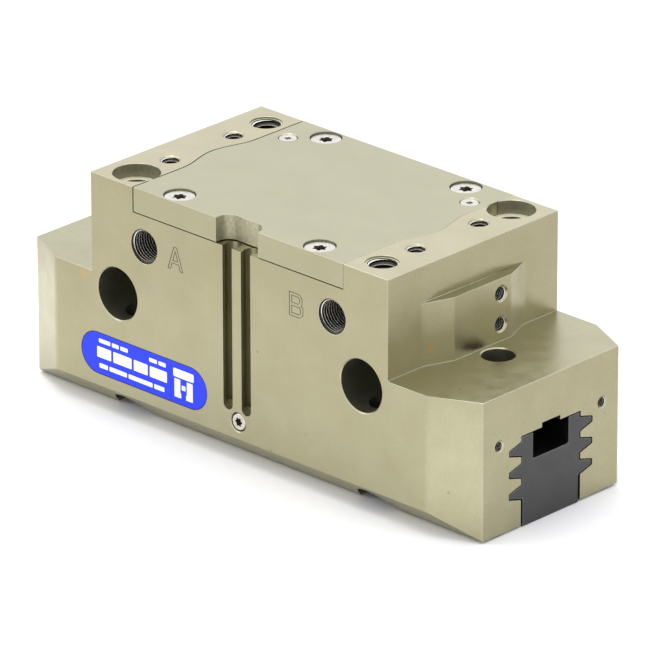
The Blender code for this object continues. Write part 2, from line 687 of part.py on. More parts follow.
def make_wedge_hook():
    """V-shaped foot on the piston rod, with a leaning T-shaped rib on each flank."""
    half_high = HOOK_HALF_LOW + WEDGE_RATIO * (HOOK_HIGH - HOOK_LOW)
    vee = [(-HOOK_HALF_LOW, HOOK_LOW), (HOOK_HALF_LOW, HOOK_LOW),
           (half_high, HOOK_HIGH), (-half_high, HOOK_HIGH)]
    hook = prism("wedge_hook", vee, "Y", -HOOK_HALF_DEPTH, HOOK_HALF_DEPTH, GROUND_STEEL)
    overlap = 0.8
    neck = sheared(HOOK_HALF_LOW - overlap, HOOK_HALF_LOW + NECK_WIDTH + overlap, HOOK_LOW, HOOK_HIGH)
    head = sheared(HOOK_HALF_LOW + NECK_WIDTH, HOOK_HALF_LOW + NECK_WIDTH + HEAD_WIDTH, HOOK_LOW, HOOK_HIGH)
    for side, turn in ((1, list), (-1, mirrored_x)):
        join(hook,
             prism(f"rib_neck_{side}", turn(neck), "Y", -NECK_HALF, NECK_HALF),
             prism(f"rib_head_{side}", turn(head), "Y", -HEAD_HALF, HEAD_HALF))
    shoulder = PISTON_LOW - GAP
    join(hook,
         drill("rod", (0, 0, HOOK_HIGH - 4), (0, 0, shoulder), 2 * ROD_RADIUS, segments=24),
         drill("spigot", (0, 0, shoulder - 2), (0, 0, ROD_SPIGOT_TOP), 10.0, segments=24))
    cut(hook, drill("rod_thread", (0, 0, 21), (0, 0, ROD_SPIGOT_TOP + PAST), 8.0))
    smooth(baked(hook))


# ---- jaws -------------------------------------------------------------------------------------

def make_jaw(name, side):
    """A base jaw. Its inner flank and T-slot follow the hook's rib, so the hook drives it both ways."""
    end = LENGTH / 2
    outline = guide_outline(GUIDE_ROOT - GAP, GUIDE_TIP - 0.35, 1.97, 0.66, 0, JAW_TOP)
    jaw = prism(name, outline, "X", side * JAW_INNER_X, side * end, JAW_STEEL)
    turn = list if side > 0 else mirrored_x
    flank = HOOK_HALF_LOW + FLANK_GAP
    neck_end = HOOK_HALF_LOW + NECK_WIDTH
    head_end = neck_end + HEAD_WIDTH
    above = JAW_TOP + PAST
    floor = HOOK_LOW - 0.4
    deep = GUIDE_TIP + PAST
    wedge = sheared(flank - 40, flank, HOOK_LOW - 3, above)
    cut(jaw,
        prism(f"{name}_flank", turn(wedge), "Y", -deep, deep),
        prism(f"{name}_neck", turn(sheared(flank - 3, neck_end, floor, above)), "Y",
              -NECK_HALF - GAP, NECK_HALF + GAP),
        prism(f"{name}_head", turn(sheared(neck_end - FLANK_GAP, head_end + FLANK_GAP, floor, above)), "Y",
              -HEAD_HALF - GAP, HEAD_HALF + GAP),
        prism(f"{name}_foot", turn(rectangle(0, JAW_FOOT_INNER_X, -PAST, JAW_FOOT_Z)), "Y", -deep, deep),
        prism(f"{name}_pocket", turn(rectangle(JAW_POCKET_X, end + PAST, JAW_POCKET_Z, above)), "Y",
              -JAW_POCKET_Y, JAW_POCKET_Y))
    for index, x in enumerate(FINGER_HOLE_X):
        form = [(MOUNT_CORE, FINGER_HOLE_DEPTH), (MOUNT_CORE, FINGER_SEAT_DEPTH),
                (FINGER_SEAT, FINGER_SEAT_DEPTH), (FINGER_SEAT, -PAST)]
        cut(jaw, stepped_hole(f"{name}_finger_{index}", form, (side * x, 0, 0)))
    smooth(baked(jaw))


# ---- dust cover, stop screw and label ---------------------------------------------------------

def make_dust_cover():
    plate = box("dust_cover", (-DUST_X, -DUST_Y, BOTTOM), (DUST_X, DUST_Y, DUST_TOP), ALUMINIUM)
    for index, (sx, sy) in enumerate(CORNERS):
        x, y = sx * DUST_SCREW_AT[0], sy * DUST_SCREW_AT[1]
        form = [(3.2, DUST_TOP + PAST), (3.2, BOTTOM + 1.4), (6.0, BOTTOM), (6.0, BOTTOM - PAST)]
        cut(plate, stepped_hole(f"dust_hole_{index}", form, (x, y, 0), 12))
    smooth(baked(plate))
    profile = [(0, 0), (2.6, 0), (1.2, -1.35), (1.2, -5.6), (0, -5.6)]
    places = corner_places(DUST_SCREW_AT, BOTTOM + 0.2)
    copies(drive_screw("dust_cover_screw", profile, 2.4, 0.9), places, (math.pi, 0, 0))


def make_stop_screw():
    profile = [(0, 0), (2.2, 0), (2.35, -0.15), (2.35, -8), (0, -8)]
    screw = drive_screw("sensor_stop_screw", profile, 2.8, 1.6)
    screw.location = Vector((0, -DEPTH / 2 + 0.2, STOP_SCREW_Z)) * MM
    screw.rotation_euler = (math.pi / 2, 0, 0)


def make_label():
    prism("label", label_outline(), "Y", -DEPTH / 2, -DEPTH / 2 + 0.3, LABEL_BLUE)


make_housing()
make_cover()
make_cover_screws()
make_cover_seal()
make_air_plugs()
make_piston()
make_piston_seal()
make_piston_magnet()
make_piston_screw()
make_rod_seal()
smooth(o_ring("piston_o_ring", 6.4, 1.7, (0, 0, 36.95)))
make_wedge_hook()
make_jaw("jaw_left", -1)
make_jaw("jaw_right", 1)
make_dust_cover()
make_stop_screw()
make_label()
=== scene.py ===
"""Looks for the parallel gripper: finer pieces round the CAD frame, their finishes, light and camera.

Sizes are in millimetres and the mesh helpers turn them into metres. The port face looks to -Y.
"""

import math

import bmesh
import bpy
from mathutils import Matrix, Vector


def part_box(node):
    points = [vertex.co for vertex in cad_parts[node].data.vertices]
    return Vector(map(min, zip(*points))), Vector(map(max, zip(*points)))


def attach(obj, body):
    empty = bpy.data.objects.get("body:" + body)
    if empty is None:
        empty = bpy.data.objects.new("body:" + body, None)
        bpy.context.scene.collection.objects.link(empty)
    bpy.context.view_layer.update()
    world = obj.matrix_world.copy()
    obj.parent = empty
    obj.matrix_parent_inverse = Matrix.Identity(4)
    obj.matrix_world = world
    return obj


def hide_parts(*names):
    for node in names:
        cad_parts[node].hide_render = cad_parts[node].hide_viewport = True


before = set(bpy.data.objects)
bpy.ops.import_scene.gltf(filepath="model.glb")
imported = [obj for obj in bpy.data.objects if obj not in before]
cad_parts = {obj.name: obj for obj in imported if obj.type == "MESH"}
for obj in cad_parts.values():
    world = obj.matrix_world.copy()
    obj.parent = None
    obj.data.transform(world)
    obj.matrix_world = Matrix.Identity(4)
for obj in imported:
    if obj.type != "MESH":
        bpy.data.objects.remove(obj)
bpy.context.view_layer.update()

MM = 0.001


def box_mm(node):
    return [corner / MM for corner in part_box(node)]


# Envelope, from the frame
END = box_mm("housing")[1].x
FRONT = box_mm("housing")[0].y
TOP = box_mm("housing")[1].z
BOTTOM = box_mm("housing")[0].z
HALF_DEPTH = -FRONT
COVER_LOW = box_mm("cover")[0].z
JAW_BOTTOM = box_mm("jaw_right")[0].z
JAW_TOP = box_mm("jaw_right")[1].z
JAW_INNER_X = box_mm("jaw_right")[0].x

CORNERS = ((-1, -1), (1, -1), (1, 1), (-1, 1))     # signs of x and y
UP, DOWN, FORWARD = (0, 0, 1), (0, 0, -1), (0, -1, 0)
PAST = 2.0                  # how far a cutter runs past the face it opens
EDGE = 0.25                 # width of a broken edge
SEAM = 0.25                 # visible gap between fitted pieces
DRILL_SLOPE = 31            # degrees between a drill's cone and its flat
SEAM_TURN = math.radians(1.3)   # keeps the edges of round cutters off each other in exact Booleans
# Material slots of the faces that tools leave; slot 0 is the untouched surface. On most pieces the others
# carry paler or darker copies of a finish: a painted highlight with some wear on broken edges, painted shade
# in holes, recesses and sensor slots, painted shade on the housing's milled walls and painted light on the
# cover's, and painted light on seat floors and the top face
WORN_EDGE_AND_HIGHLIGHT, HOLLOW_SHADE, MILLED_PAINTED, SLOT_SHADE, SEAT_LIGHT, TOP_LIGHT = 1, 2, 3, 4, 5, 6

# Housing steps, corners and bottom chamfers
STEP_Z = 39.7
BLOCK_END = 54.15
CORNER_X, CORNER_Y, CORNER_ROUND = 68.1, 26.0, 5.0
CHAMFER_RISE, CHAMFER_IN = 6.5, 6.8

# Trapezoid pads: how far they stand out, their half widths at the wall and at the face, and their top
PAD_PROUD, PAD_WALL_Y, PAD_FACE_Y, PAD_TOP = 3.2, 19.1, 10.9, 57.5
PAD_FOOT_ROUND, PAD_FACE_ROUND = 8.0, 2.5

# Cover plate
COVER_X, COVER_BULGE, COVER_BULGE_Y = 38.2, 2.8, 14.0
COVER_SIDE_GAP, COVER_SHIFT = 0.2, 0.1       # the cover lies nearer to the right side of its seat
SEAT_Z = COVER_LOW - SEAM     # floor of the cover's seat
NOTCH_X, NOTCH_DEPTH, NOTCH_ROUND = 7.6, 4.6, (5.0, 3.2)
SCREW_AT, PLUG_AT = (25.5, 27.8), (33.1, 21.0)
SCREW_SUNK, PLUG_SUNK, STOP_SUNK = 0.5, 0.25, 0.2     # how far the screw faces lie below the surface

# Oval cylinder, the seal groove round it, and the (radius, height) steps of the rod's hole below it
BORE_STRAIGHT, BORE_RADIUS, BORE_FLOOR = 11.0, 23.5, 35.5
SEAL_GROOVE, SEAL_GROOVE_DEPTH = (24.2, 26.2), 1.7
ROD_HOLE = [(0, 37.5), (12.0, 37.5), (12.0, 34.8), (13.2, 34.8), (13.2, 33.2), (12.0, 33.2),
            (12.0, 29.5), (8.3, 29.5), (8.3, 25.2), (0, 25.2)]

# Toothed guide
TOOTH_Z = (10.0, 16.1, 22.2)
GUIDE_ROOT, GUIDE_TIP, GUIDE_TOP = 11.4, 16.05, 25.9
JAW_SLACK, JAW_FOOT_SLACK = 0.27, 0.7
POCKET_X, POCKET_Y, POCKET_Z = 52.0, 6.8, 18.2
HOOK_ROOM_X, HOOK_ROOM_Y, HOOK_ROOM_TOP = 37.0, 8.0, 27.25
GUIDE_NOTCH_Y, GUIDE_NOTCH_TOP = 3.5, 27.2      # just below the room's ceiling, so that they don't coincide

# Wedge hook: the lean of its flanks in x for each z, the height of its foot and its half width there
WEDGE_RATIO, HOOK_LOW, HOOK_HALF_LOW = 1.3, 5.4, 12.0
# Cuts in a jaw for the hook: x reaches from the hook's flank, and the T-slot's half widths
FLANK_REACH, NECK_REACH, HEAD_REACH = (-40, 0.5), (-3, 4.6), (4.1, 10.3)
NECK_HALF, HEAD_HALF, FOOT_GAP = 3.3, 5.8, 0.4
RELIEF_X, RELIEF_TOP = 25.5, 3.0      # room over the dust cover

# Holes: where they are, and their (diameter, depth) steps from the mouth down
MOUNT_AT, MOUNT_DRILL = (44.7, 24.6), ((8.1, 20), (6.8, 60))
SLEEVE_SEAT, PLAIN_SEAT = ((12.95, 3.85), (8.7, 4.25)), ((8.8, 0.6),)
FOOT_BORE = ((12.8, 9),)
SMALL_TOP_Y, SMALL_TOP_HOLE = 12.0, ((5.1, 13),)
SIDE_HOLE_AT, SIDE_HOLE = (44.6, 35.5), ((14.7, 16.0),)
END_HOLE_AT, END_HOLE = (19.7, 25.6), ((2.9, 8),)
FLANGE_HOLE_X, FLANGE_HOLE = 62.9, ((9.0, 11),)
PAD_HOLE_Y, PAD_HOLE_Z, PAD_HOLE = 7.1, (44.5, 53.1), ((3.9, 8),)
PORT_AT, PORT_HOLE = (34.3, 52.0), ((9.8, 12.0),)
STOP_SCREW_Z, STOP_HOLE = 11.8, ((5.3, 9),)
COVER_SCREW_HOLE, DUST_SCREW_HOLE = ((4.4, 10),), ((3.0, 4.5),)
PLUG_HOLE = ((5.3, 4.8), (2.0, 9))
FINGER_HOLE_X, FINGER_HOLE = (50.0, 71.0), ((12.0, 3.0), (8.1, 12))
SLOT_X, SLOT_MOUTH, SLOT_ROUND, SLOT_LOW, SLOT_LIP = (-3.6, 3.1), 3.4, 4.4, 16.2, 0.1

# Threads: major diameter, minor diameter and pitch
M8, M5, M4, M3 = (8.0, 6.8, 1.25), (5.0, 4.25, 0.8), (3.85, 3.3, 0.7), (2.85, 2.45, 0.5)
AIR_THREAD = (9.73, 8.6, 0.907)
# The depths between which the threads run; a corner thread starts a little below its seat
SMALL_TOP_SPAN, PORT_SPAN, PAD_SPAN, END_SPAN = (0.5, 11), (0.1, 10.5), (0.5, 7), (0.35, 7)
FINGER_SPAN, MOUNT_LEAD, MOUNT_END = (3.05, 11.8), 0.3, 19.5


# ---- mesh helpers -----------------------------------------------------------------------------

def new_object(name, bm):
    bmesh.ops.recalc_face_normals(bm, faces=bm.faces)
    mesh = bpy.data.meshes.new(name)
    bm.to_mesh(mesh)
    bm.free()
    obj = bpy.data.objects.new(name, mesh)
    bpy.context.scene.collection.objects.link(obj)
    return obj


def on_plane(axis, u, v, along):
    """The point of an outline (u, v) drawn square to the axis, at a distance along it."""
    return Vector({"X": (along, u, v), "Y": (u, along, v), "Z": (u, v, along)}[axis]) * MM


def prism(name, outline, axis, low, high):
    """A flat outline extruded along an axis: (y, z) for X, (x, z) for Y and (x, y) for Z."""
    bm = bmesh.new()
    face = bm.faces.new([bm.verts.new(on_plane(axis, u, v, low)) for u, v in outline])
    grown = bmesh.ops.extrude_face_region(bm, geom=[face])["geom"]
    raised = [item for item in grown if isinstance(item, bmesh.types.BMVert)]
    bmesh.ops.translate(bm, vec=on_plane(axis, 0, 0, high - low), verts=raised)
    return new_object(name, bm)


def block(name, low, high):
    return prism(name, rectangle(low[0], high[0], low[1], high[1]), "Z", low[2], high[2])


def turned(name, profile, place=(0, 0, 0), up=UP, segments=64):
    """A closed (radius, height) outline spun round its own axis, which points up at a place."""
    bm = bmesh.new()
    points = [bm.verts.new(Vector((radius, 0, height)) * MM) for radius, height in profile]
    edges = [bm.edges.new(pair) for pair in zip(points, points[1:])]
    if profile[0][0] and profile[-1][0]:
        edges.append(bm.edges.new((points[-1], points[0])))
    bmesh.ops.spin(bm, geom=points + edges, axis=(0, 0, 1), cent=(0, 0, 0), angle=math.tau,
                   steps=segments, use_merge=False, use_duplicate=False)
    bmesh.ops.remove_doubles(bm, verts=bm.verts, dist=1e-7)
    turn = Vector(up).to_track_quat("Z", "Y").to_matrix().to_4x4() @ Matrix.Rotation(SEAM_TURN, 4, "Z")
    bmesh.ops.transform(bm, matrix=Matrix.Translation(Vector(place) * MM) @ turn, verts=bm.verts)
    return new_object(name, bm)


def bore(place, out, steps, edge=EDGE, segments=64, point=True):
    """A cutter for a round hole: (diameter, depth) steps below a flared mouth that breaks the edge."""
    flare = 0.2
    radius = steps[0][0] / 2
    profile = [(0, flare), (radius + edge + flare, flare), (radius, -edge)]
    above, depth = radius, edge
    for across, bottom in steps:
        if across / 2 != above:
            profile.append((across / 2, -depth))
        profile.append((across / 2, -bottom))
        above, depth = across / 2, bottom
    tip = above * math.tan(math.radians(DRILL_SLOPE)) if point else 0
    profile.append((0, -depth - tip))
    tool = turned("bore", profile, place, out, segments)
    # In a stepped hole the floor of the first step and the wall above it have slots of their own. The
    # mouth's slot carries a painted highlight, the floor's painted light, the wall's painted shade in the
    # housing and painted light in the cover, and the rest of the hole painted shade
    for face in tool.data.polygons:
        height = (face.center / MM - Vector(place)).dot(Vector(out))
        above_seat = height + steps[0][1]
        if height > -edge:
            face.material_index = WORN_EDGE_AND_HIGHLIGHT
        elif len(steps) > 1 and abs(above_seat) < 0.01:
            face.material_index = SEAT_LIGHT
        else:
            face.material_index = MILLED_PAINTED if len(steps) > 1 and above_seat > 0 else HOLLOW_SHADE
    return tool


def marked(tool, slot):
    """Gives the faces that a tool leaves one of its target's material slots."""
    for face in tool.data.polygons:
        face.material_index = slot
    return tool


def boolean(target, operation, tools):
    """Applies one operation with each tool and removes the tools."""
    for tool in tools:
        step = target.modifiers.new(tool.name, "BOOLEAN")
        step.operation = operation
        step.object = tool
        step.solver = "EXACT"
    bpy.context.view_layer.update()
    mesh = bpy.data.meshes.new_from_object(target.evaluated_get(bpy.context.evaluated_depsgraph_get()))
    target.modifiers.clear()
    target.data = mesh
    for tool in tools:
        bpy.data.objects.remove(tool, do_unlink=True)
    return target


def cut(target, *tools):
    return boolean(target, "DIFFERENCE", tools)


def join(target, *tools):
    return boolean(target, "UNION", tools)


def keep_inside(target, *tools):
    return boolean(target, "INTERSECT", tools)


def soften(obj, width=EDGE, least_angle=35, segments=2, where=None):
    """Breaks the edges that are sharper than an angle, as deburring does, in their own material slot, whose
    paler finish is partly wear and partly a painted highlight.
    """
    bm = bmesh.new()
    bm.from_mesh(obj.data)
    bmesh.ops.remove_doubles(bm, verts=bm.verts, dist=1e-6)
    bmesh.ops.dissolve_limit(bm, angle_limit=math.radians(0.2), verts=bm.verts, edges=bm.edges)
    sharp = [edge for edge in bm.edges if len(edge.link_faces) == 2
             and edge.calc_face_angle() > math.radians(least_angle)
             and (where is None or all(where(vert.co / MM) for vert in edge.verts))]
    bmesh.ops.bevel(bm, geom=sharp, offset=width * MM, offset_type="OFFSET", segments=segments, profile=0.5,
                    affect="EDGES", clamp_overlap=False, material=WORN_EDGE_AND_HIGHLIGHT)
    bm.to_mesh(obj.data)
    bm.free()
    return obj


def shade(obj, *finishes, angle=32):
    """Smooth shading that keeps flat faces flat, and the piece's finishes."""
    obj.data.shade_smooth()
    obj.data.set_sharp_from_angle(angle=math.radians(angle))
    weighted = obj.modifiers.new("flat_faces", "WEIGHTED_NORMAL")
    weighted.keep_sharp = True
    slots = [min(face.material_index, len(finishes) - 1) for face in obj.data.polygons]
    obj.data.materials.clear()
    for finish in finishes:
        obj.data.materials.append(finish)
    obj.data.polygons.foreach_set("material_index", slots)
    return obj


def joined(name, pieces):
    """One object from several, at the origin."""
    bm = bmesh.new()
    for piece in pieces:
        bpy.context.view_layer.update()
        piece.data.transform(piece.matrix_world)
        bm.from_mesh(piece.data)
        bpy.data.objects.remove(piece, do_unlink=True)
    return new_object(name, bm)


# ---- outlines ---------------------------------------------------------------------------------

def rectangle(u_low, u_high, v_low, v_high):
    return [(u_low, v_low), (u_high, v_low), (u_high, v_high), (u_low, v_high)]


def filleted(corners, step=6):
    """A closed outline from (u, v, radius) corners, with each rounded corner drawn as an arc."""
    outline = []
    for index, (u, v, radius) in enumerate(corners):
        corner = Vector((u, v))
        if not radius:
            outline.append((u, v))
            continue
        back = (Vector(corners[index - 1][:2]) - corner).normalized()
        ahead = (Vector(corners[(index + 1) % len(corners)][:2]) - corner).normalized()
        opening = back.angle(ahead)
        centre = corner + (back + ahead).normalized() * radius / math.sin(opening / 2)
        start = corner + back * radius / math.tan(opening / 2) - centre
        turn = math.copysign(math.pi - opening, -back.cross(ahead))
        chords = max(2, round(math.degrees(abs(turn)) / step))
        for chord in range(chords + 1):
            outline.append(tuple(centre + Matrix.Rotation(turn * chord / chords, 2) @ start))
    return outline


def stadium(half_straight, radius, segments=32, centre=(0, 0)):
    """An oval of two half circles joined by straight sides."""
    outline = []
    for side, first in ((1, -90), (-1, 90)):
        for chord in range(segments + 1):
            angle = math.radians(first + 180 * chord / segments)
            outline.append((centre[0] + side * half_straight + radius * math.cos(angle),
                            centre[1] + radius * math.sin(angle)))
    return outline


def hexalobe(across, points=72):
    """The outline of a six-lobed recess, with round lobes."""
    outline = []
    for point in range(points):
        angle = math.tau * point / points
        radius = across / 2 * (0.865 + 0.135 * math.cos(6 * angle))
        outline.append((radius * math.cos(angle), radius * math.sin(angle)))
    return outline


def cover_outline(margin=0.0):
    """The cover seen from above: its two end edges bulge smoothly in the middle."""
    def edge(y):
        swell = math.cos(math.pi * y / (2 * COVER_BULGE_Y)) ** 2 if abs(y) < COVER_BULGE_Y else 0
        return COVER_X + COVER_BULGE * swell + margin

    half = HALF_DEPTH + (PAST if margin else 0)
    steps = 16
    stops = [-half, *[COVER_BULGE_Y * part / steps for part in range(-steps, steps + 1)], half]
    return [(edge(y), y) for y in stops] + [(-edge(y), y) for y in reversed(stops)]


def guide_outline(slack, low, top, foot_slack=None):
    """Cross section (y, z) of the toothed guide. The jaw's is smaller by a slack, more so at its foot."""
    root_half, tip_half, round_tip, round_root = 2.2 - slack * 0.7, 0.87 - slack * 0.7, 0.45, 0.3
    root, tip = GUIDE_ROOT - slack, GUIDE_TIP - slack
    side = [(root, low, 0)]
    if foot_slack:
        foot = GUIDE_ROOT - foot_slack
        side = [(foot, low, 0), (foot, TOOTH_Z[0] - root_half - 0.4, 0)]
    for centre in TOOTH_Z:
        side += [(root, centre - root_half, round_root), (tip, centre - tip_half, round_tip),
                 (tip, centre + tip_half, round_tip), (root, centre + root_half, round_root)]
    side.append((root, top, 0))
    return filleted(side + [(-y, z, r) for y, z, r in reversed(side)], step=22)


def slot_outline(x):
    """A sensor slot's mouth (x, z): round at its foot and open at the cover seat."""
    half = SLOT_MOUTH / 2
    foot = [(x + half * math.cos(math.radians(a)), SLOT_LOW + half * math.sin(math.radians(a)))
            for a in range(180, 361, 15)]
    return foot + [(x + half, SEAT_Z + PAST), (x - half, SEAT_Z + PAST)]


def label_outline(margin=0.0):
    """The label's oval (x, z), filling the box of its CAD node."""
    low, high = box_mm("label")
    half_length, half_height = (high.x - low.x) / 2, (high.z - low.z) / 2
    centre = ((low.x + high.x) / 2, (low.z + high.z) / 2)
    return stadium(half_length - half_height, half_height + margin, 24, centre)


# ---- finishes: sizes in millimetres, colours as linear red, green and blue ---------------------

class Finish:
    """A material under construction, with short calls for the nodes it needs."""

    def __init__(self, name):
        self.material = bpy.data.materials.new(name)
        self.material.use_nodes = True
        self.nodes = self.material.node_tree.nodes
        self.links = self.material.node_tree.links
        self.shader = self.nodes["Principled BSDF"]
        self.place = self.nodes.new("ShaderNodeTexCoord").outputs["Object"]

    def node(self, kind, inputs=(), **settings):
        node = self.nodes.new("ShaderNode" + kind)
        for key, value in settings.items():
            setattr(node, key, value)
        for key, value in dict(inputs).items():
            if isinstance(value, bpy.types.NodeSocket):
                self.links.new(value, node.inputs[key])
            else:
                node.inputs[key].default_value = value
        return node

    def noise(self, size, detail=3.0, roughness=0.55, stretch=None):
        """Noise with features of about a size in millimetres, from 0 to 1."""
        place = self.place
        if stretch:
            place = self.node("Mapping", {"Vector": place, "Scale": stretch}).outputs["Vector"]
        inputs = {"Vector": place, "Scale": 1 / (size * MM), "Detail": detail, "Roughness": roughness}
        return self.node("TexNoise", inputs).outputs["Fac"]

    def spread(self, value, low, high, to_low=0.0, to_high=1.0):
        inputs = {"Value": value, "From Min": low, "From Max": high, "To Min": to_low, "To Max": to_high}
        return self.node("MapRange", inputs, clamp=True).outputs["Result"]

    def mix(self, share, first, second, blend="MIX"):
        inputs = {"Factor": share, "A": first, "B": second}
        node = self.node("Mix", data_type="RGBA", blend_type=blend)
        for key, socket in (("Factor", node.inputs[0]), ("A", node.inputs[6]), ("B", node.inputs[7])):
            if isinstance(inputs[key], bpy.types.NodeSocket):
                self.links.new(inputs[key], socket)
            else:
                socket.default_value = inputs[key]
        return node.outputs[2]

    def near(self, point, radius):
        """1 at a point in millimetres, falling to 0 at a ragged radius."""
        ragged = self.noise(1.2, 4.0)
        offset = self.node("VectorMath", {0: self.place, 1: Vector(point) * MM}, operation="DISTANCE")
        wobble = self.node("Math", {0: ragged, 1: radius * MM * 1.2}, operation="MULTIPLY").outputs[0]
        reach = self.node("Math", {0: offset.outputs["Value"], 1: wobble}, operation="ADD").outputs[0]
        return self.spread(reach, radius * MM * 0.5, radius * MM * 1.3, 1.0, 0.0)

    def done(self, colour, roughness, metallic, bump=None, bump_size=0.02):
        shader = self.shader
        for key, value in (("Base Color", colour), ("Roughness", roughness), ("Metallic", metallic)):
            if isinstance(value, bpy.types.NodeSocket):
                self.links.new(value, shader.inputs[key])
            else:
                shader.inputs[key].default_value = value
        if bump is not None:
            node = self.node("Bump", {"Height": bump, "Strength": 1.0, "Distance": bump_size * MM})
            self.links.new(node.outputs["Normal"], shader.inputs["Normal"])
        return self.material


def rgb(red, green, blue):
    return (red, green, blue, 1.0)


def anodised(name, light, dark, rough=0.3, specks=0.5, stains=(), metallic=1.0, mottle=0.0, grain=0.1):
    """Hard-anodised milled aluminium: satin, faintly mottled, with a few dark specks."""
    finish = Finish(name)
    cloud = finish.spread(finish.noise(14, 5.0, 0.6), 0.35, 0.68)
    colour = finish.mix(cloud, rgb(*light), rgb(*dark))
    # Fine grain, then short streaks on rough-milled faces
    grains = finish.spread(finish.noise(0.5, 2.0), 0.3, 0.7, 0, grain)
    colour = finish.mix(grains, colour, rgb(*[c * 0.55 for c in dark]))
    if mottle:
        streaks = finish.spread(finish.noise(0.9, 4.0, 0.7, (1.0, 1.0, 0.8)), 0.35, 0.7, 0, mottle)
        colour = finish.mix(streaks, colour, rgb(*[c * 0.3 for c in dark]))
    # Dark specks, in some areas only
    blot = finish.node("TexVoronoi", {"Vector": finish.place, "Scale": 1 / (9 * MM), "Randomness": 1.0})
    dot = finish.spread(blot.outputs["Distance"], 0.03, 0.055, specks, 0.0)
    few = finish.spread(finish.noise(22, 1.0), 0.52, 0.56)
    dot = finish.node("Math", {0: dot, 1: few}, operation="MULTIPLY").outputs[0]
    colour = finish.mix(dot, colour, rgb(0.16, 0.13, 0.07))
    for point, radius in stains:
        share = finish.spread(finish.near(point, radius), 0, 1, 0, 0.6)
        colour = finish.mix(share, colour, rgb(0.66, 0.33, 0.06))
    wear = finish.spread(finish.noise(5, 4.0), 0.3, 0.75, rough - 0.05, rough + 0.06)
    return finish.done(colour, wear, metallic, finish.noise(0.16, 2.0), 0.006)


def bare_metal(name, light, dark, rough, size=3.0, bump_size=0.006):
    """Uncoated or blackened steel with clouds of about a size in millimetres."""
    finish = Finish(name)
    colour = finish.mix(finish.spread(finish.noise(size, 4.0), 0.35, 0.65), rgb(*light), rgb(*dark))
    roughness = finish.spread(finish.noise(size / 3, 3.0), 0.3, 0.7, rough - 0.06, rough + 0.08)
    return finish.done(colour, roughness, 1.0, finish.noise(0.25, 2.0), bump_size)


def rubber(name):
    """Black seal rubber, slightly uneven."""
    finish = Finish(name)
    colour = finish.mix(finish.noise(1.5), rgb(0.012, 0.012, 0.013), rgb(0.03, 0.03, 0.03))
    return finish.done(colour, finish.spread(finish.noise(0.8), 0.3, 0.7, 0.5, 0.7), 0.0,
                       finish.noise(0.3), 0.01)


def film(name, light, dark):
    """Printed plastic film with a weak, wavy shine."""
    finish = Finish(name)
    finish.shader.inputs["Specular IOR Level"].default_value = 0.22
    colour = finish.mix(finish.noise(6, 3.0), rgb(*light), rgb(*dark))
    return finish.done(colour, finish.spread(finish.noise(2.5), 0.3, 0.7, 0.26, 0.4), 0.0,
                       finish.noise(1.6), 0.01)


# Brownish stains on the housing: middle and radius
STAINS = (((-57.2, FRONT, 38.0), 2.4), ((BLOCK_END + 1.0, -17.4, 44.3), 2.2))
HOUSING = anodised("housing_anodised", (0.408, 0.382, 0.243), (0.375, 0.349, 0.216), 0.33, stains=STAINS,
                   grain=0.17)
# Paler copy for broken edges and hole mouths: partly wear, partly a painted highlight
HOUSING_WEAR_AND_HIGHLIGHT = anodised("housing_edge_wear_and_highlight", (0.47, 0.445, 0.315), (0.40, 0.375, 0.25), 0.28, 0.2)
# Dark copy for the walls of holes, countersinks and engraved lines: painted shade
HOUSING_BORE_SHADE = anodised("housing_bore_shade", (0.235, 0.228, 0.165), (0.185, 0.180, 0.125), 0.5, 0.0)
# Darker copy with milling streaks for the walls of counterbores: painted shade
HOUSING_MILLED_SHADE = anodised("housing_milled_shade", (0.31, 0.295, 0.20), (0.23, 0.22, 0.15), 0.4, 0.9,
                          metallic=0.7, mottle=0.3)
# Paler copy for the top face: painted light
HOUSING_TOP_LIGHT = anodised("housing_top_light", (0.465, 0.427, 0.274), (0.430, 0.393, 0.247), 0.33, grain=0.12)
# Paler, less metallic copy for the floors of counterbores: painted light
HOUSING_SEAT_LIGHT = anodised("housing_seat_light", (0.74, 0.71, 0.52), (0.62, 0.59, 0.42), 0.4, 0.3, metallic=0.2)
# Darker copy for the walls of the sensor slots: painted shade
HOUSING_SLOT_SHADE = anodised("housing_slot_shade", (0.335, 0.318, 0.205), (0.285, 0.270, 0.170), 0.42, 0.0)
# Paler copy with milling streaks for the cable notch and the plug counterbores: painted light
COVER_MILLED_LIGHT = anodised("cover_milled_light", (0.50, 0.475, 0.32), (0.38, 0.36, 0.235), 0.4, 0.9,
                        metallic=0.7, mottle=0.45)
COVER = anodised("cover_anodised", (0.396, 0.376, 0.243), (0.382, 0.360, 0.229), 0.33, 0.1, grain=0.05)
# Thread crests pale and less metallic, roots and flanks near black: painted highlight and painted shade
THREAD_CREST_HIGHLIGHT = anodised("thread_crest_highlight", (0.94, 0.91, 0.79), (0.82, 0.79, 0.67), 0.28, 0.0, metallic=0.25)
THREAD_ROOT_SHADE = anodised("thread_root_shade", (0.045, 0.042, 0.033), (0.03, 0.028, 0.022), 0.4, 0.0)
JAW = bare_metal("jaw_blackened", (0.084, 0.083, 0.080), (0.076, 0.076, 0.075), 0.36, 9.0)
# Paler copy for jaw edges and finger thread crests: partly wear, partly a painted highlight
JAW_WEAR_AND_HIGHLIGHT = bare_metal("jaw_edge_wear_and_highlight", (0.16, 0.16, 0.16), (0.09, 0.09, 0.09), 0.3, 3.0)
ZINC = bare_metal("screw_zinc", (0.66, 0.63, 0.54), (0.56, 0.53, 0.45), 0.24, 1.4)
# Paler copy for screw edges: partly wear, partly a painted highlight
ZINC_WEAR_AND_HIGHLIGHT = bare_metal("screw_edge_wear_and_highlight", (0.78, 0.75, 0.66), (0.68, 0.65, 0.57), 0.2, 1.0)
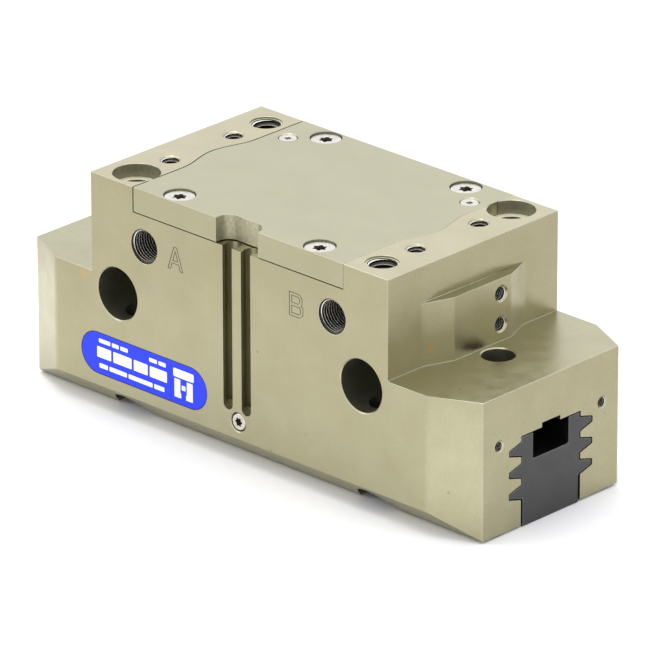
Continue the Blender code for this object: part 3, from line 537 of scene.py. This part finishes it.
# Darker copies of zinc for the recesses of screws and plugs: painted shade
RECESS_SHADE = bare_metal("screw_recess_shade", (0.20, 0.17, 0.13), (0.11, 0.09, 0.07), 0.5, 1.0)
PLUG_RECESS_SHADE = bare_metal("plug_recess_shade", (0.55, 0.52, 0.46), (0.42, 0.40, 0.35), 0.4, 1.0)
GROUND = bare_metal("hook_ground", (0.42, 0.42, 0.43), (0.35, 0.35, 0.36), 0.22, 8.0)
SPRING = bare_metal("spring_dark", (0.14, 0.14, 0.15), (0.10, 0.10, 0.11), 0.3, 2.0)
SINTER = bare_metal("magnet_nickel", (0.50, 0.48, 0.45), (0.42, 0.40, 0.37), 0.2, 2.0)
RUBBER = rubber("seal_black")
LABEL = film("label_blue", (0.016, 0.040, 0.74), (0.013, 0.034, 0.66))
LABEL_BORDER = film("label_border", (0.010, 0.016, 0.16), (0.008, 0.012, 0.12))
LABEL_WHITE = film("label_white", (0.80, 0.81, 0.84), (0.72, 0.73, 0.77))


def placed(piece, body, slot, *nodes):
    """Registers a piece: the body it rides on and the CAD nodes it stands for, which it hides. The slot
    argument is not used.
    """
    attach(piece, body)
    if nodes:
        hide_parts(*nodes)
    return piece


# ---- housing ----------------------------------------------------------------------------------

def housing_blank():
    """The stepped body with its cut corners, bottom chamfers and end pads, before any hole."""
    steps = [(-END, BOTTOM), (END, BOTTOM), (END, STEP_Z), (BLOCK_END, STEP_Z),
             (BLOCK_END, TOP), (-BLOCK_END, TOP), (-BLOCK_END, STEP_Z), (-END, STEP_Z)]
    body = prism("housing_body", steps, "Y", -HALF_DEPTH, HALF_DEPTH)
    far = HALF_DEPTH + PAST
    run_out = PAST * (END - CORNER_X) / (HALF_DEPTH - CORNER_Y)
    # One corner of the plan: a straight cut that starts on the end face and is rounded at the side
    quarter = [(END + 2 * run_out, CORNER_Y - 2 * PAST, 0), (CORNER_X, HALF_DEPTH, CORNER_ROUND)]
    plan = filleted(
        [(x, -y, r) for x, y, r in reversed(quarter)] + quarter
        + [(-x, y, r) for x, y, r in reversed(quarter)] + [(-x, -y, r) for x, y, r in quarter], step=4)
    half_foot = HALF_DEPTH - CHAMFER_IN
    lean = CHAMFER_IN / CHAMFER_RISE * PAST
    shoulder = BOTTOM + CHAMFER_RISE
    side = [(half_foot - lean, BOTTOM - PAST), (HALF_DEPTH, shoulder), (far, shoulder + PAST / 4),
            (far, TOP + PAST)]
    end_view = side + [(-y, z) for y, z in reversed(side)]
    keep_inside(body, prism("plan_limits", plan, "Z", BOTTOM - PAST, TOP + PAST),
                prism("end_limits", end_view, "X", -END - PAST, END + PAST))
    for turn in (-1, 1):
        join(body, pad(turn))
    return soften(body, least_angle=55)


def pad(turn):
    """The trapezoid pad on one end of the upper block, with run-out fillets in plan."""
    sink, reach = 0.01, 4.0
    inside = BLOCK_END - 1.5
    half = [(inside, PAD_WALL_Y + reach, 0), (BLOCK_END - sink, PAD_WALL_Y + reach, 0),
            (BLOCK_END - sink, PAD_WALL_Y, PAD_FOOT_ROUND),
            (BLOCK_END + PAD_PROUD, PAD_FACE_Y, PAD_FACE_ROUND)]
    outline = filleted(half + [(x, -y, r) for x, y, r in reversed(half)])
    return prism("pad", [(turn * x, y) for x, y in outline], "Z", STEP_Z - 1.0, PAD_TOP)


def cut_cylinder(body):
    """Cover seat, oval bore, and the stepped hole for the rod, its seal and its retaining ring."""
    cut(body,
        prism("cover_seat", cover_outline(COVER_SIDE_GAP), "Z", SEAT_Z, TOP + PAST),
        prism("cylinder", stadium(BORE_STRAIGHT, BORE_RADIUS), "Z", BORE_FLOOR, SEAT_Z + PAST),
        turned("rod_hole", ROD_HOLE))


def cut_guide(body):
    """The toothed slot that both jaws share, and the dust cover's recess under its middle."""
    far = END + PAST
    dust_low, dust_high = box_mm("dust_cover")
    cut(body,
        prism("guide", guide_outline(0.0, BOTTOM - PAST, GUIDE_TOP), "X", -far, far),
        prism("guide_notch", rectangle(-GUIDE_NOTCH_Y, GUIDE_NOTCH_Y, GUIDE_TOP - 1, GUIDE_NOTCH_TOP), "X",
              -far, far),
        block("hook_room", (-HOOK_ROOM_X, -HOOK_ROOM_Y, GUIDE_TOP - 1),
              (HOOK_ROOM_X, HOOK_ROOM_Y, HOOK_ROOM_TOP)),
        block("dust_recess", (dust_low.x - SEAM, dust_low.y - SEAM, BOTTOM - PAST),
              (dust_high.x + SEAM, dust_high.y + SEAM, dust_high.z + 0.3)))
    screws = [sum(box_mm(f"dust_cover_screw_{index}"), Vector()) / 2 for index in (1, 2, 3, 4)]
    cut(body, *[bore((at.x, at.y, dust_high.z), DOWN, DUST_SCREW_HOLE, 0.1, 32) for at in screws])


def cut_top_and_sides(body):
    """Corner holes right through with their seats, cross holes, small top holes and flange holes."""
    for sx, sy in CORNERS:
        x, y, face = sx * MOUNT_AT[0], sy * MOUNT_AT[1], sy * HALF_DEPTH
        seat = SLEEVE_SEAT if sx == sy else PLAIN_SEAT
        cut(body,
            bore((x, y, TOP), UP, seat + MOUNT_DRILL, 0.15, point=False),
            bore((x, y, BOTTOM), DOWN, FOOT_BORE, 0.3, point=False),
            bore((sx * SIDE_HOLE_AT[0], face, SIDE_HOLE_AT[1]), (0, sy, 0), SIDE_HOLE, 0.3, point=False),
            bore((x, sy * SMALL_TOP_Y, TOP), UP, SMALL_TOP_HOLE, 0.4, 48),
            bore((sx * END, sy * END_HOLE_AT[0], END_HOLE_AT[1]), (sx, 0, 0), END_HOLE, 0.35, 32))
    for side in (-1, 1):
        cut(body, bore((side * FLANGE_HOLE_X, 0, STEP_Z), UP, FLANGE_HOLE, 0.3))
        face = side * (BLOCK_END + PAD_PROUD)
        cut(body, *[bore((face, side * PAD_HOLE_Y, z), (side, 0, 0), PAD_HOLE, 0.5, 40)
                    for z in PAD_HOLE_Z])


def cut_front(body):
    """Air ports, sensor slots, stop screw hole, label bed and cover screw holes."""
    inner = FRONT + SLOT_LIP + SLOT_ROUND / 2
    for side in (-1, 1):
        cut(body, bore((side * PORT_AT[0], FRONT, PORT_AT[1]), FORWARD, PORT_HOLE, 0.1))
    round_outline = [(0, SEAT_Z + PAST), (SLOT_ROUND / 2, SEAT_Z + PAST), (SLOT_ROUND / 2, SLOT_LOW),
                     (0, SLOT_LOW)]
    for x in SLOT_X:
        mouth = prism("slot_mouth", slot_outline(x), "Y", FRONT - PAST, inner)
        round_part = turned("slot_round", round_outline, (x, inner, 0), segments=40)
        # The slot walls take the darker slot finish: painted shade
        cut(body, marked(mouth, SLOT_SHADE), marked(round_part, SLOT_SHADE))
    cut(body,
        bore((0, FRONT, STOP_SCREW_Z), FORWARD, STOP_HOLE, segments=48),
        prism("label_bed", label_outline(0.03), "Y", FRONT - PAST, FRONT + LABEL_BED))
    for sx, sy in CORNERS:
        cut(body, bore((sx * SCREW_AT[0], sy * SCREW_AT[1], SEAT_Z), UP, COVER_SCREW_HOLE, 0.2, 32))


def grown(outline, margin):
    """A closed outline moved outwards by a margin, or inwards by a negative one."""
    moved = []
    for index, point in enumerate(outline):
        here = Vector(point)
        back = (here - Vector(outline[index - 1])).normalized()
        ahead = (Vector(outline[(index + 1) % len(outline)]) - here).normalized()
        out = Vector((back.y + ahead.y, -back.x - ahead.x)).normalized()
        moved.append(tuple(here + out * margin / max(0.35, out.dot(Vector((back.y, -back.x))))))
    return moved


def engraved(contours, corner):
    """Cutters for the lines of a letter: each contour is a ring a line wide, cut into the front face."""
    line, depth = 0.11, 0.14
    rings = []
    for contour in contours:
        outline = filleted([(corner[0] + u, corner[1] + v, r) for u, v, r in contour], step=15)
        ring = prism("letter", grown(outline, line), "Y", FRONT - PAST, FRONT + depth)
        core = prism("core", grown(outline, -line), "Y", FRONT - 2 * PAST, FRONT + PAST)
        # The groove faces take the dark hole slot: painted shade in the engraved lines
        rings.append(marked(cut(ring, core), HOLLOW_SHADE))
    return rings


# Contours of (u, v, radius) corners from a letter's lower left corner
LETTER_A = (
    [(0, 0, 0), (0.95, 0, 0), (1.5, 1.75, 0), (3.9, 1.75, 0), (4.45, 0, 0), (5.4, 0, 0), (3.2, 6.4, 0),
     (2.2, 6.4, 0)],
    [(1.8, 2.55, 0), (3.6, 2.55, 0), (2.7, 5.3, 0)])
LETTER_B = (
    [(0, 0, 0), (4.9, 0, 1.7), (4.9, 3.2, 0.8), (4.2, 3.5, 0), (4.6, 3.8, 0.8), (4.6, 6.6, 1.5),
     (0, 6.6, 0)],
    [(0.85, 0.85, 0), (4.05, 0.85, 0.9), (4.05, 2.9, 0.9), (0.85, 2.9, 0)],
    [(0.85, 3.8, 0), (3.7, 3.8, 0.8), (3.7, 5.75, 0.8), (0.85, 5.75, 0)])
LETTER_A_AT, LETTER_B_AT = (-25.4, 48.7), (19.0, 48.2)


def make_housing():
    """The housing with its holes and letters, and a finish for each kind of face, most of them paler or
    darker copies that paint light and shade.
    """
    body = housing_blank()
    cut_cylinder(body)
    cut_guide(body)
    cut_top_and_sides(body)
    cut_front(body)
    cut(body, *engraved(LETTER_A, LETTER_A_AT), *engraved(LETTER_B, LETTER_B_AT))
    # The upward top face takes a paler copy of the finish: painted light
    for face in body.data.polygons:
        if not face.material_index and face.normal.z > 0.99 and face.center.z > (TOP - 0.01) * MM:
            face.material_index = TOP_LIGHT
    shade(body, HOUSING, HOUSING_WEAR_AND_HIGHLIGHT, HOUSING_BORE_SHADE, HOUSING_MILLED_SHADE, HOUSING_SLOT_SHADE, HOUSING_SEAT_LIGHT, HOUSING_TOP_LIGHT)
    placed(body, "housing", "hard_anodised_aluminium", "housing")


def thread_liner(place, out, thread, span, columns=48):
    """The wall of a threaded hole: a helix of ridges between two depths, closed at its back."""
    major, minor, pitch = thread
    start, end = span
    # Radius against the share of a pitch: crest, flank, root and flank
    knots = ((0.0, minor / 2), (0.2, minor / 2), (0.52, major / 2), (0.68, major / 2), (1.0, minor / 2))

    def radius_at(phase):
        for (low, inner), (high, outer) in zip(knots, knots[1:]):
            if phase <= high:
                return inner + (outer - inner) * (phase - low) / (high - low)
        return knots[-1][1]

    bm = bmesh.new()
    back = major / 2 + 0.02
    turns = math.ceil((end - start) / pitch) + 2
    heights = [pitch * (turn + phase) for turn in range(-2, turns) for phase, _ in knots[:-1]]
    grid = []
    for column in range(columns + 1):
        angle = math.tau * column / columns
        spoke = Vector((math.cos(angle), math.sin(angle), 0))
        wall = []
        for height in heights:
            depth = min(max(start + height + pitch * column / columns, start), end)
            phase = ((depth - start) / pitch - column / columns) % 1.0
            radius = max(radius_at(phase), major / 2 - (depth - start))     # a 45 degree lead-in
            wall.append(bm.verts.new((spoke * radius - Vector((0, 0, depth))) * MM))
        wall.append(bm.verts.new((spoke * back - Vector((0, 0, end))) * MM))
        wall.append(bm.verts.new((spoke * back - Vector((0, 0, start))) * MM))
        grid.append(wall)
    for left, right in zip(grid, grid[1:]):
        for row in range(len(left)):
            ahead = (row + 1) % len(left)
            face = bm.faces.new((left[row], right[row], right[ahead], left[ahead]))
            # Crests take slot 0 and roots and flanks slot 1; in the housing these carry a painted highlight
            # and painted shade
            is_crest = row % (len(knots) - 1) == 0
            face.material_index = 0 if is_crest or row >= len(heights) else 1
    bmesh.ops.remove_doubles(bm, verts=bm.verts, dist=1e-7)
    bmesh.ops.dissolve_degenerate(bm, edges=bm.edges, dist=1e-7)
    turn = Vector(out).to_track_quat("Z", "Y").to_matrix().to_4x4()
    bmesh.ops.transform(bm, matrix=Matrix.Translation(Vector(place) * MM) @ turn, verts=bm.verts)
    return new_object("thread", bm)


def make_threads():
    """Thread walls in the ports and in the threaded holes of the top, the pads and the ends."""
    liners = []
    for sx, sy in CORNERS:
        x, seat = sx * MOUNT_AT[0], SLEEVE_SEAT if sx == sy else PLAIN_SEAT
        span = (seat[-1][1] + MOUNT_LEAD, MOUNT_END)
        liners.append(thread_liner((x, sy * MOUNT_AT[1], TOP), UP, M8, span))
        liners.append(thread_liner((x, sy * SMALL_TOP_Y, TOP), UP, M5, SMALL_TOP_SPAN, 36))
    for side in (-1, 1):
        port = (side * PORT_AT[0], FRONT, PORT_AT[1])
        liners.append(thread_liner(port, FORWARD, AIR_THREAD, PORT_SPAN, 64))
        face = side * (BLOCK_END + PAD_PROUD)
        liners += [thread_liner((face, side * PAD_HOLE_Y, z), (side, 0, 0), M4, PAD_SPAN, 32)
                   for z in PAD_HOLE_Z]
        liners += [thread_liner((side * END, y, END_HOLE_AT[1]), (side, 0, 0), M3, END_SPAN, 28)
                   for y in (-END_HOLE_AT[0], END_HOLE_AT[0])]
    threads = shade(joined("housing_threads", liners), THREAD_CREST_HIGHLIGHT, THREAD_ROOT_SHADE, angle=25)
    placed(threads, "housing", "hard_anodised_aluminium")


# ---- cover, screws, plugs ---------------------------------------------------------------------

def make_cover():
    """The cover with its cable notch, seal groove, countersinks and plug holes."""
    plate = prism("cover_plate", [(x + COVER_SHIFT, y) for x, y in cover_outline()], "Z", COVER_LOW, TOP)
    notch = filleted([(-NOTCH_X, FRONT - PAST, 0), (NOTCH_X, FRONT - PAST, 0),
                      (NOTCH_X, FRONT + NOTCH_DEPTH, NOTCH_ROUND[0]),
                      (-NOTCH_X, FRONT + NOTCH_DEPTH, NOTCH_ROUND[1])])
    # The notch wall takes the paler milled finish: painted light
    cut(plate, marked(prism("cable_notch", notch, "Z", COVER_LOW - PAST, TOP + PAST), MILLED_PAINTED))
    soften(plate, 0.1)
    inner, outer = (stadium(BORE_STRAIGHT, radius) for radius in SEAL_GROOVE)
    groove = prism("seal_groove", outer, "Z", COVER_LOW - PAST, COVER_LOW + SEAL_GROOVE_DEPTH)
    cut(groove, prism("groove_core", inner, "Z", COVER_LOW - 2 * PAST, COVER_LOW + 2 * PAST))
    cut(plate, groove)
    for sx, sy in CORNERS:
        x, y = sx * SCREW_AT[0], sy * SCREW_AT[1]
        profile = [(0, TOP + 0.3), (4.75, TOP + 0.3), (4.35, TOP - 0.1), (4.35, TOP - 0.95),
                   (2.4, TOP - 2.4), (2.4, COVER_LOW - PAST), (0, COVER_LOW - PAST)]
        # The countersinks take the dark hole slot: painted shade
        cut(plate, marked(turned("countersink", profile, (x, y, 0)), HOLLOW_SHADE))
    for side in (-1, 1):
        x, y = side * PLUG_AT[0], PLUG_AT[1]
        cut(plate, bore((x, y, TOP), UP, PLUG_HOLE, 0.3, 48, point=False))
    shade(plate, COVER, HOUSING_WEAR_AND_HIGHLIGHT, HOUSING_BORE_SHADE, COVER_MILLED_LIGHT)
    placed(plate, "housing", "hard_anodised_aluminium", "cover")


def drive_screw(name, node, profile, recess, depth, place, out, finish=RECESS_SHADE):
    """A turned screw with a six-lobed recess, recess wide and depth deep, that has a conical floor; the
    recess takes a darker finish, painted shade.
    """
    screw = turned(name, profile)
    lobes = prism("lobes", hexalobe(recess), "Z", -depth, PAST)
    tip = turned("tip", [(0, -depth + 0.2), (recess * 0.36, -depth + 0.2), (0, -depth - recess * 0.2)],
                 segments=32)
    cut(screw, marked(lobes, HOLLOW_SHADE), marked(tip, HOLLOW_SHADE))
    soften(screw, 0.09, 50, where=lambda point: point.z > -0.05)     # the edges of the face only
    turn = Vector(out).to_track_quat("Z", "Y").to_matrix().to_4x4()
    screw.data.transform(Matrix.Translation(Vector(place) * MM) @ turn)
    shade(screw, ZINC, ZINC_WEAR_AND_HIGHLIGHT, finish)
    return placed(screw, "housing", "zinc_steel", node)


def make_screws():
    """The flat cover screws, the two plugs and the stop screw, as (radius, height) outlines."""
    flat = [(0, 0), (4.05, 0), (4.2, -0.15), (4.2, -0.35), (2.0, -2.35), (2.0, -14), (0, -14)]
    for index, (sx, sy) in enumerate(CORNERS, 1):
        place = (sx * SCREW_AT[0], sy * SCREW_AT[1], TOP - SCREW_SUNK)
        drive_screw(f"cover_flat_screw_{index}", f"cover_screw_{index}", flat, 3.95, 1.9, place, UP)
    plug = [(0, 0), (2.35, 0), (2.52, -0.17), (2.52, -3), (0, -3)]
    for side, name in ((-1, "left"), (1, "right")):
        place = (side * PLUG_AT[0], PLUG_AT[1], TOP - PLUG_SUNK)
        drive_screw(f"plug_{name}", f"air_plug_{name}", plug, 2.2, 0.8, place, UP, PLUG_RECESS_SHADE)
    stop = [(0, 0), (2.15, 0), (2.35, -0.2), (2.35, -8), (0, -8)]
    place = (0, FRONT + STOP_SUNK, STOP_SCREW_Z)
    drive_screw("stop_screw", "sensor_stop_screw", stop, 2.6, 1.3, place, FORWARD)


# ---- jaws -------------------------------------------------------------------------------------

def sheared(reach, z_low, z_high):
    """A strip (x, z) that leans with the hook's flank, between two reaches from it."""
    near, far = HOOK_HALF_LOW + reach[0], HOOK_HALF_LOW + reach[1]
    lean_low, lean_high = WEDGE_RATIO * (z_low - HOOK_LOW), WEDGE_RATIO * (z_high - HOOK_LOW)
    return [(near + lean_low, z_low), (far + lean_low, z_low), (far + lean_high, z_high),
            (near + lean_high, z_high)]


def make_jaw(name, side):
    """A toothed base jaw with its leaning flank, T-slot, end pocket and threaded finger holes."""
    outline = guide_outline(JAW_SLACK, JAW_BOTTOM, JAW_TOP, JAW_FOOT_SLACK)
    jaw = prism(f"{name}_base", outline, "X", side * JAW_INNER_X, side * END)
    above, deep = JAW_TOP + PAST, GUIDE_TIP + PAST

    def turned_to_side(points):
        return [(side * x, z) for x, z in points]

    pocket = rectangle(POCKET_X, END + PAST, POCKET_Z, above)
    flank = sheared(FLANK_REACH, HOOK_LOW - 3, above)
    foot = rectangle(0, RELIEF_X, -PAST, RELIEF_TOP)
    cut(jaw,
        prism("pocket", turned_to_side(pocket), "Y", -POCKET_Y, POCKET_Y),
        prism("flank", turned_to_side(flank), "Y", -deep, deep),
        prism("foot", turned_to_side(foot), "Y", -deep, deep))
    soften(jaw, 0.25, 40)
    neck, head = (sheared(reach, HOOK_LOW - FOOT_GAP, above) for reach in (NECK_REACH, HEAD_REACH))
    cut(jaw,
        prism("neck", turned_to_side(neck), "Y", -NECK_HALF, NECK_HALF),
        prism("head", turned_to_side(head), "Y", -HEAD_HALF, HEAD_HALF),
        *[bore((side * x, 0, JAW_BOTTOM), DOWN, FINGER_HOLE, 0.3) for x in FINGER_HOLE_X])
    shade(jaw, JAW, JAW_WEAR_AND_HIGHLIGHT, JAW)
    placed(jaw, name, "jaw_steel", name)
    # Crests of the finger threads take the paler edge finish: painted highlight
    threads = joined(f"{name}_threads", [
        thread_liner((side * x, 0, JAW_BOTTOM), DOWN, M8, FINGER_SPAN) for x in FINGER_HOLE_X])
    placed(shade(threads, JAW_WEAR_AND_HIGHLIGHT, JAW, angle=25), name, "jaw_steel")


# ---- dust cover and label ---------------------------------------------------------------------

def make_dust_cover():
    """The plate under the hook and its four small flat screws."""
    plate = soften(block("dust_plate", *box_mm("dust_cover")))
    flat = [(0, 0), (2.5, 0), (2.6, -0.1), (1.2, -1.4), (1.2, -5.6), (0, -5.6)]
    for index in (1, 2, 3, 4):
        screw_low, screw_high = box_mm(f"dust_cover_screw_{index}")
        at = (screw_low + screw_high) / 2
        profile = [(0, -0.5), (3.5, -0.5), (3.0, 0.0), (1.6, 1.4), (1.6, 4), (0, 4)]
        cut(plate, turned("countersink", profile, (at.x, at.y, BOTTOM), segments=40))
        drive_screw(f"dust_flat_screw_{index}", f"dust_cover_screw_{index}", flat, 2.5, 0.9,
                    (at.x, at.y, screw_low.z), DOWN)
    shade(plate, COVER, HOUSING_WEAR_AND_HIGHLIGHT, HOUSING_BORE_SHADE)
    placed(plate, "housing", "hard_anodised_aluminium", "dust_cover")


# Label: depths of its bed, its back, its face and the faces of its marks below the front
LABEL_BED, LABEL_BACK, LABEL_FACE, MARK_BACK, MARK_FACE = 0.25, 0.2, 0.02, 0.1, 0.004
# Rows of plain bars: middle height, height, and the start and end of each bar
LABEL_ROWS = (
    (3.7, 1.15, ((-16.9, -12.6), (-12.0, -9.4), (-8.8, -6.0), (2.0, 4.9), (5.5, 8.2))),
    (0.35, 3.1, ((-17.6, -12.3), (-11.5, -4.6), (-3.8, 1.4), (2.2, 8.6))),
    (-3.5, 1.3, ((-16.8, -13.6), (-13.0, -6.4), (-5.8, 3.2), (3.8, 7.6))))
# A finger of the pictogram, from the pictogram's middle
FINGER_MARK = ((1.2, 1.2), (3.4, 1.2), (3.4, -4.1), (0.9, -4.1), (0.9, -2.7), (1.2, -2.7))


def make_label():
    """A blue film with a dark border, a plain pictogram of two jaws, and bars in place of lettering."""
    low, high = box_mm("label")
    middle_x, middle_z = (low.x + high.x) / 2, (low.z + high.z) / 2
    rim, pictogram_x = 0.28, 14.8
    film_piece = prism("label_film", label_outline(-rim), "Y", FRONT + LABEL_FACE, FRONT + LABEL_BACK)
    placed(shade(film_piece, LABEL), "housing", "label_film", "label")
    border = prism("label_border", label_outline(), "Y", FRONT + LABEL_FACE, FRONT + LABEL_BACK)
    cut(border, prism("border_core", label_outline(-rim), "Y", FRONT - PAST, FRONT + PAST))
    placed(shade(border, LABEL_BORDER), "housing", "label_film")
    marks = []

    def mark(corners, round_end=0.25):
        outline = filleted([(middle_x + u, middle_z + v, round_end) for u, v in corners], step=18)
        marks.append(prism("mark", outline, "Y", FRONT + MARK_FACE, FRONT + MARK_BACK))

    for z, height, spans in LABEL_ROWS:
        for start, end in spans:
            mark(rectangle(start, end, z - height / 2, z + height / 2))
    for side in (-1, 1):
        mark([(pictogram_x + side * u, v) for u, v in FINGER_MARK], 0.12)
    # The body over the two fingers, and the workpiece between them
    mark(rectangle(pictogram_x - 3.8, pictogram_x + 3.8, 1.7, 4.1), 0.5)
    mark(rectangle(pictogram_x - 0.7, pictogram_x + 0.7, -1.6, -0.2), 0.3)
    placed(shade(joined("label_marks", marks), LABEL_WHITE), "housing", "label_film")


# ---- pieces inside, which keep their CAD shapes -----------------------------------------------

def finish_inner_pieces():
    """Gives the pieces that have no finer version here the finish of their material."""
    finishes = {"piston": HOUSING, "wedge_hook": GROUND, "seal_retainer": GROUND, "piston_screw": ZINC,
                "retaining_ring": SPRING, "piston_magnet": SINTER, "cover_seal": RUBBER,
                "air_plug_seal_left": RUBBER, "air_plug_seal_right": RUBBER, "piston_seal": RUBBER,
                "piston_o_ring": RUBBER, "rod_seal": RUBBER}
    for node, finish in finishes.items():
        for material_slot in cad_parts[node].material_slots:
            material_slot.material = finish


# ---- floor, light and camera ------------------------------------------------------------------

FLOOR_HALF, FLOOR_DROP = 6000, 0.05      # the drop clears the jaw faces, which lie in the plane z = 0
# Pools of light painted on the floor: middle and radius
FLOOR_LIGHT_POOLS = (((84, -86, 0), 46), ((-128, -22, 0), 40))    # paler areas of the floor: middle and radius


def make_stage():
    """A white paper floor with painted shade that greys it a little away from the gripper and painted pools
    of light, under an even pale sky.
    """
    bm = bmesh.new()
    bmesh.ops.create_grid(bm, x_segments=1, y_segments=1, size=FLOOR_HALF * MM)
    floor = new_object("floor", bm)
    paper = Finish("paper")
    away = paper.node("VectorMath", {0: paper.place}, operation="LENGTH").outputs["Value"]
    # Painted shade: the floor greys away from the gripper
    painted_falloff = paper.spread(away, 90 * MM, 190 * MM)
    colour = paper.mix(painted_falloff, rgb(0.78, 0.77, 0.745), rgb(0.64, 0.62, 0.59))
    # Painted pools of light on the floor
    for point, radius in FLOOR_LIGHT_POOLS:
        offset = paper.node("VectorMath", {0: paper.place, 1: Vector(point) * MM}, operation="DISTANCE")
        lit = paper.spread(offset.outputs["Value"], radius * MM * 0.55, radius * MM * 1.25, 1.0, 0.0)
        colour = paper.mix(lit, colour, rgb(0.96, 0.96, 0.96))
    floor.data.materials.append(paper.done(colour, 0.9, 0.0))
    floor.location.z = -FLOOR_DROP * MM
    world = bpy.data.worlds.new("studio")
    world.use_nodes = True
    bpy.context.scene.world = world
    background = world.node_tree.nodes["Background"]
    background.inputs["Color"].default_value = rgb(0.95, 0.97, 1.05)
    background.inputs["Strength"].default_value = 1.36


def softbox(name, place, target, size, power):
    """A white rectangular light: place, target and size in metres, power in watts."""
    light = bpy.data.lights.new(name, "AREA")
    light.shape = "RECTANGLE"
    light.size, light.size_y = size
    light.energy = power
    obj = bpy.data.objects.new(name, light)
    bpy.context.scene.collection.objects.link(obj)
    obj.location = place
    obj.rotation_euler = (Vector(target) - Vector(place)).to_track_quat("-Z", "Y").to_euler()


def make_lights():
    """Two soft lights, above and to the left, that model the edges under the pale sky."""
    softbox("top_light", (-0.2, 0.1, 1.1), (0, 0, 0), (1.2, 1.2), 9.0)
    softbox("left_light", (-0.9, -0.9, 0.6), (0, 0, 0.03), (0.8, 0.8), 5.0)


def make_camera():
    """A long lens far off, so that parallel edges hardly converge."""
    azimuth, elevation, roll = math.radians(43.76), math.radians(23.13), math.radians(0.11)
    target, distance = Vector((2.5, 0.9, 27.9)) * MM, 2191.7 * MM
    back = Vector((math.sin(azimuth) * math.cos(elevation), -math.cos(azimuth) * math.cos(elevation),
                   math.sin(elevation)))
    lens = bpy.data.cameras.new("camera")
    lens.sensor_width = 36.0
    lens.lens = 448.0
    lens.clip_end = 20.0
    camera = bpy.data.objects.new("camera", lens)
    bpy.context.scene.collection.objects.link(camera)
    turn = (-back).to_track_quat("-Z", "Y").to_matrix().to_4x4() @ Matrix.Rotation(-roll, 4, "Z")
    camera.matrix_world = Matrix.Translation(target + back * distance) @ turn
    bpy.context.scene.camera = camera


make_camera()
make_stage()
make_lights()
make_housing()
make_threads()
make_cover()
make_screws()
make_jaw("jaw_left", -1)
make_jaw("jaw_right", 1)
make_dust_cover()
make_label()
finish_inner_pieces()
bpy.context.scene.view_settings.view_transform = "Standard"
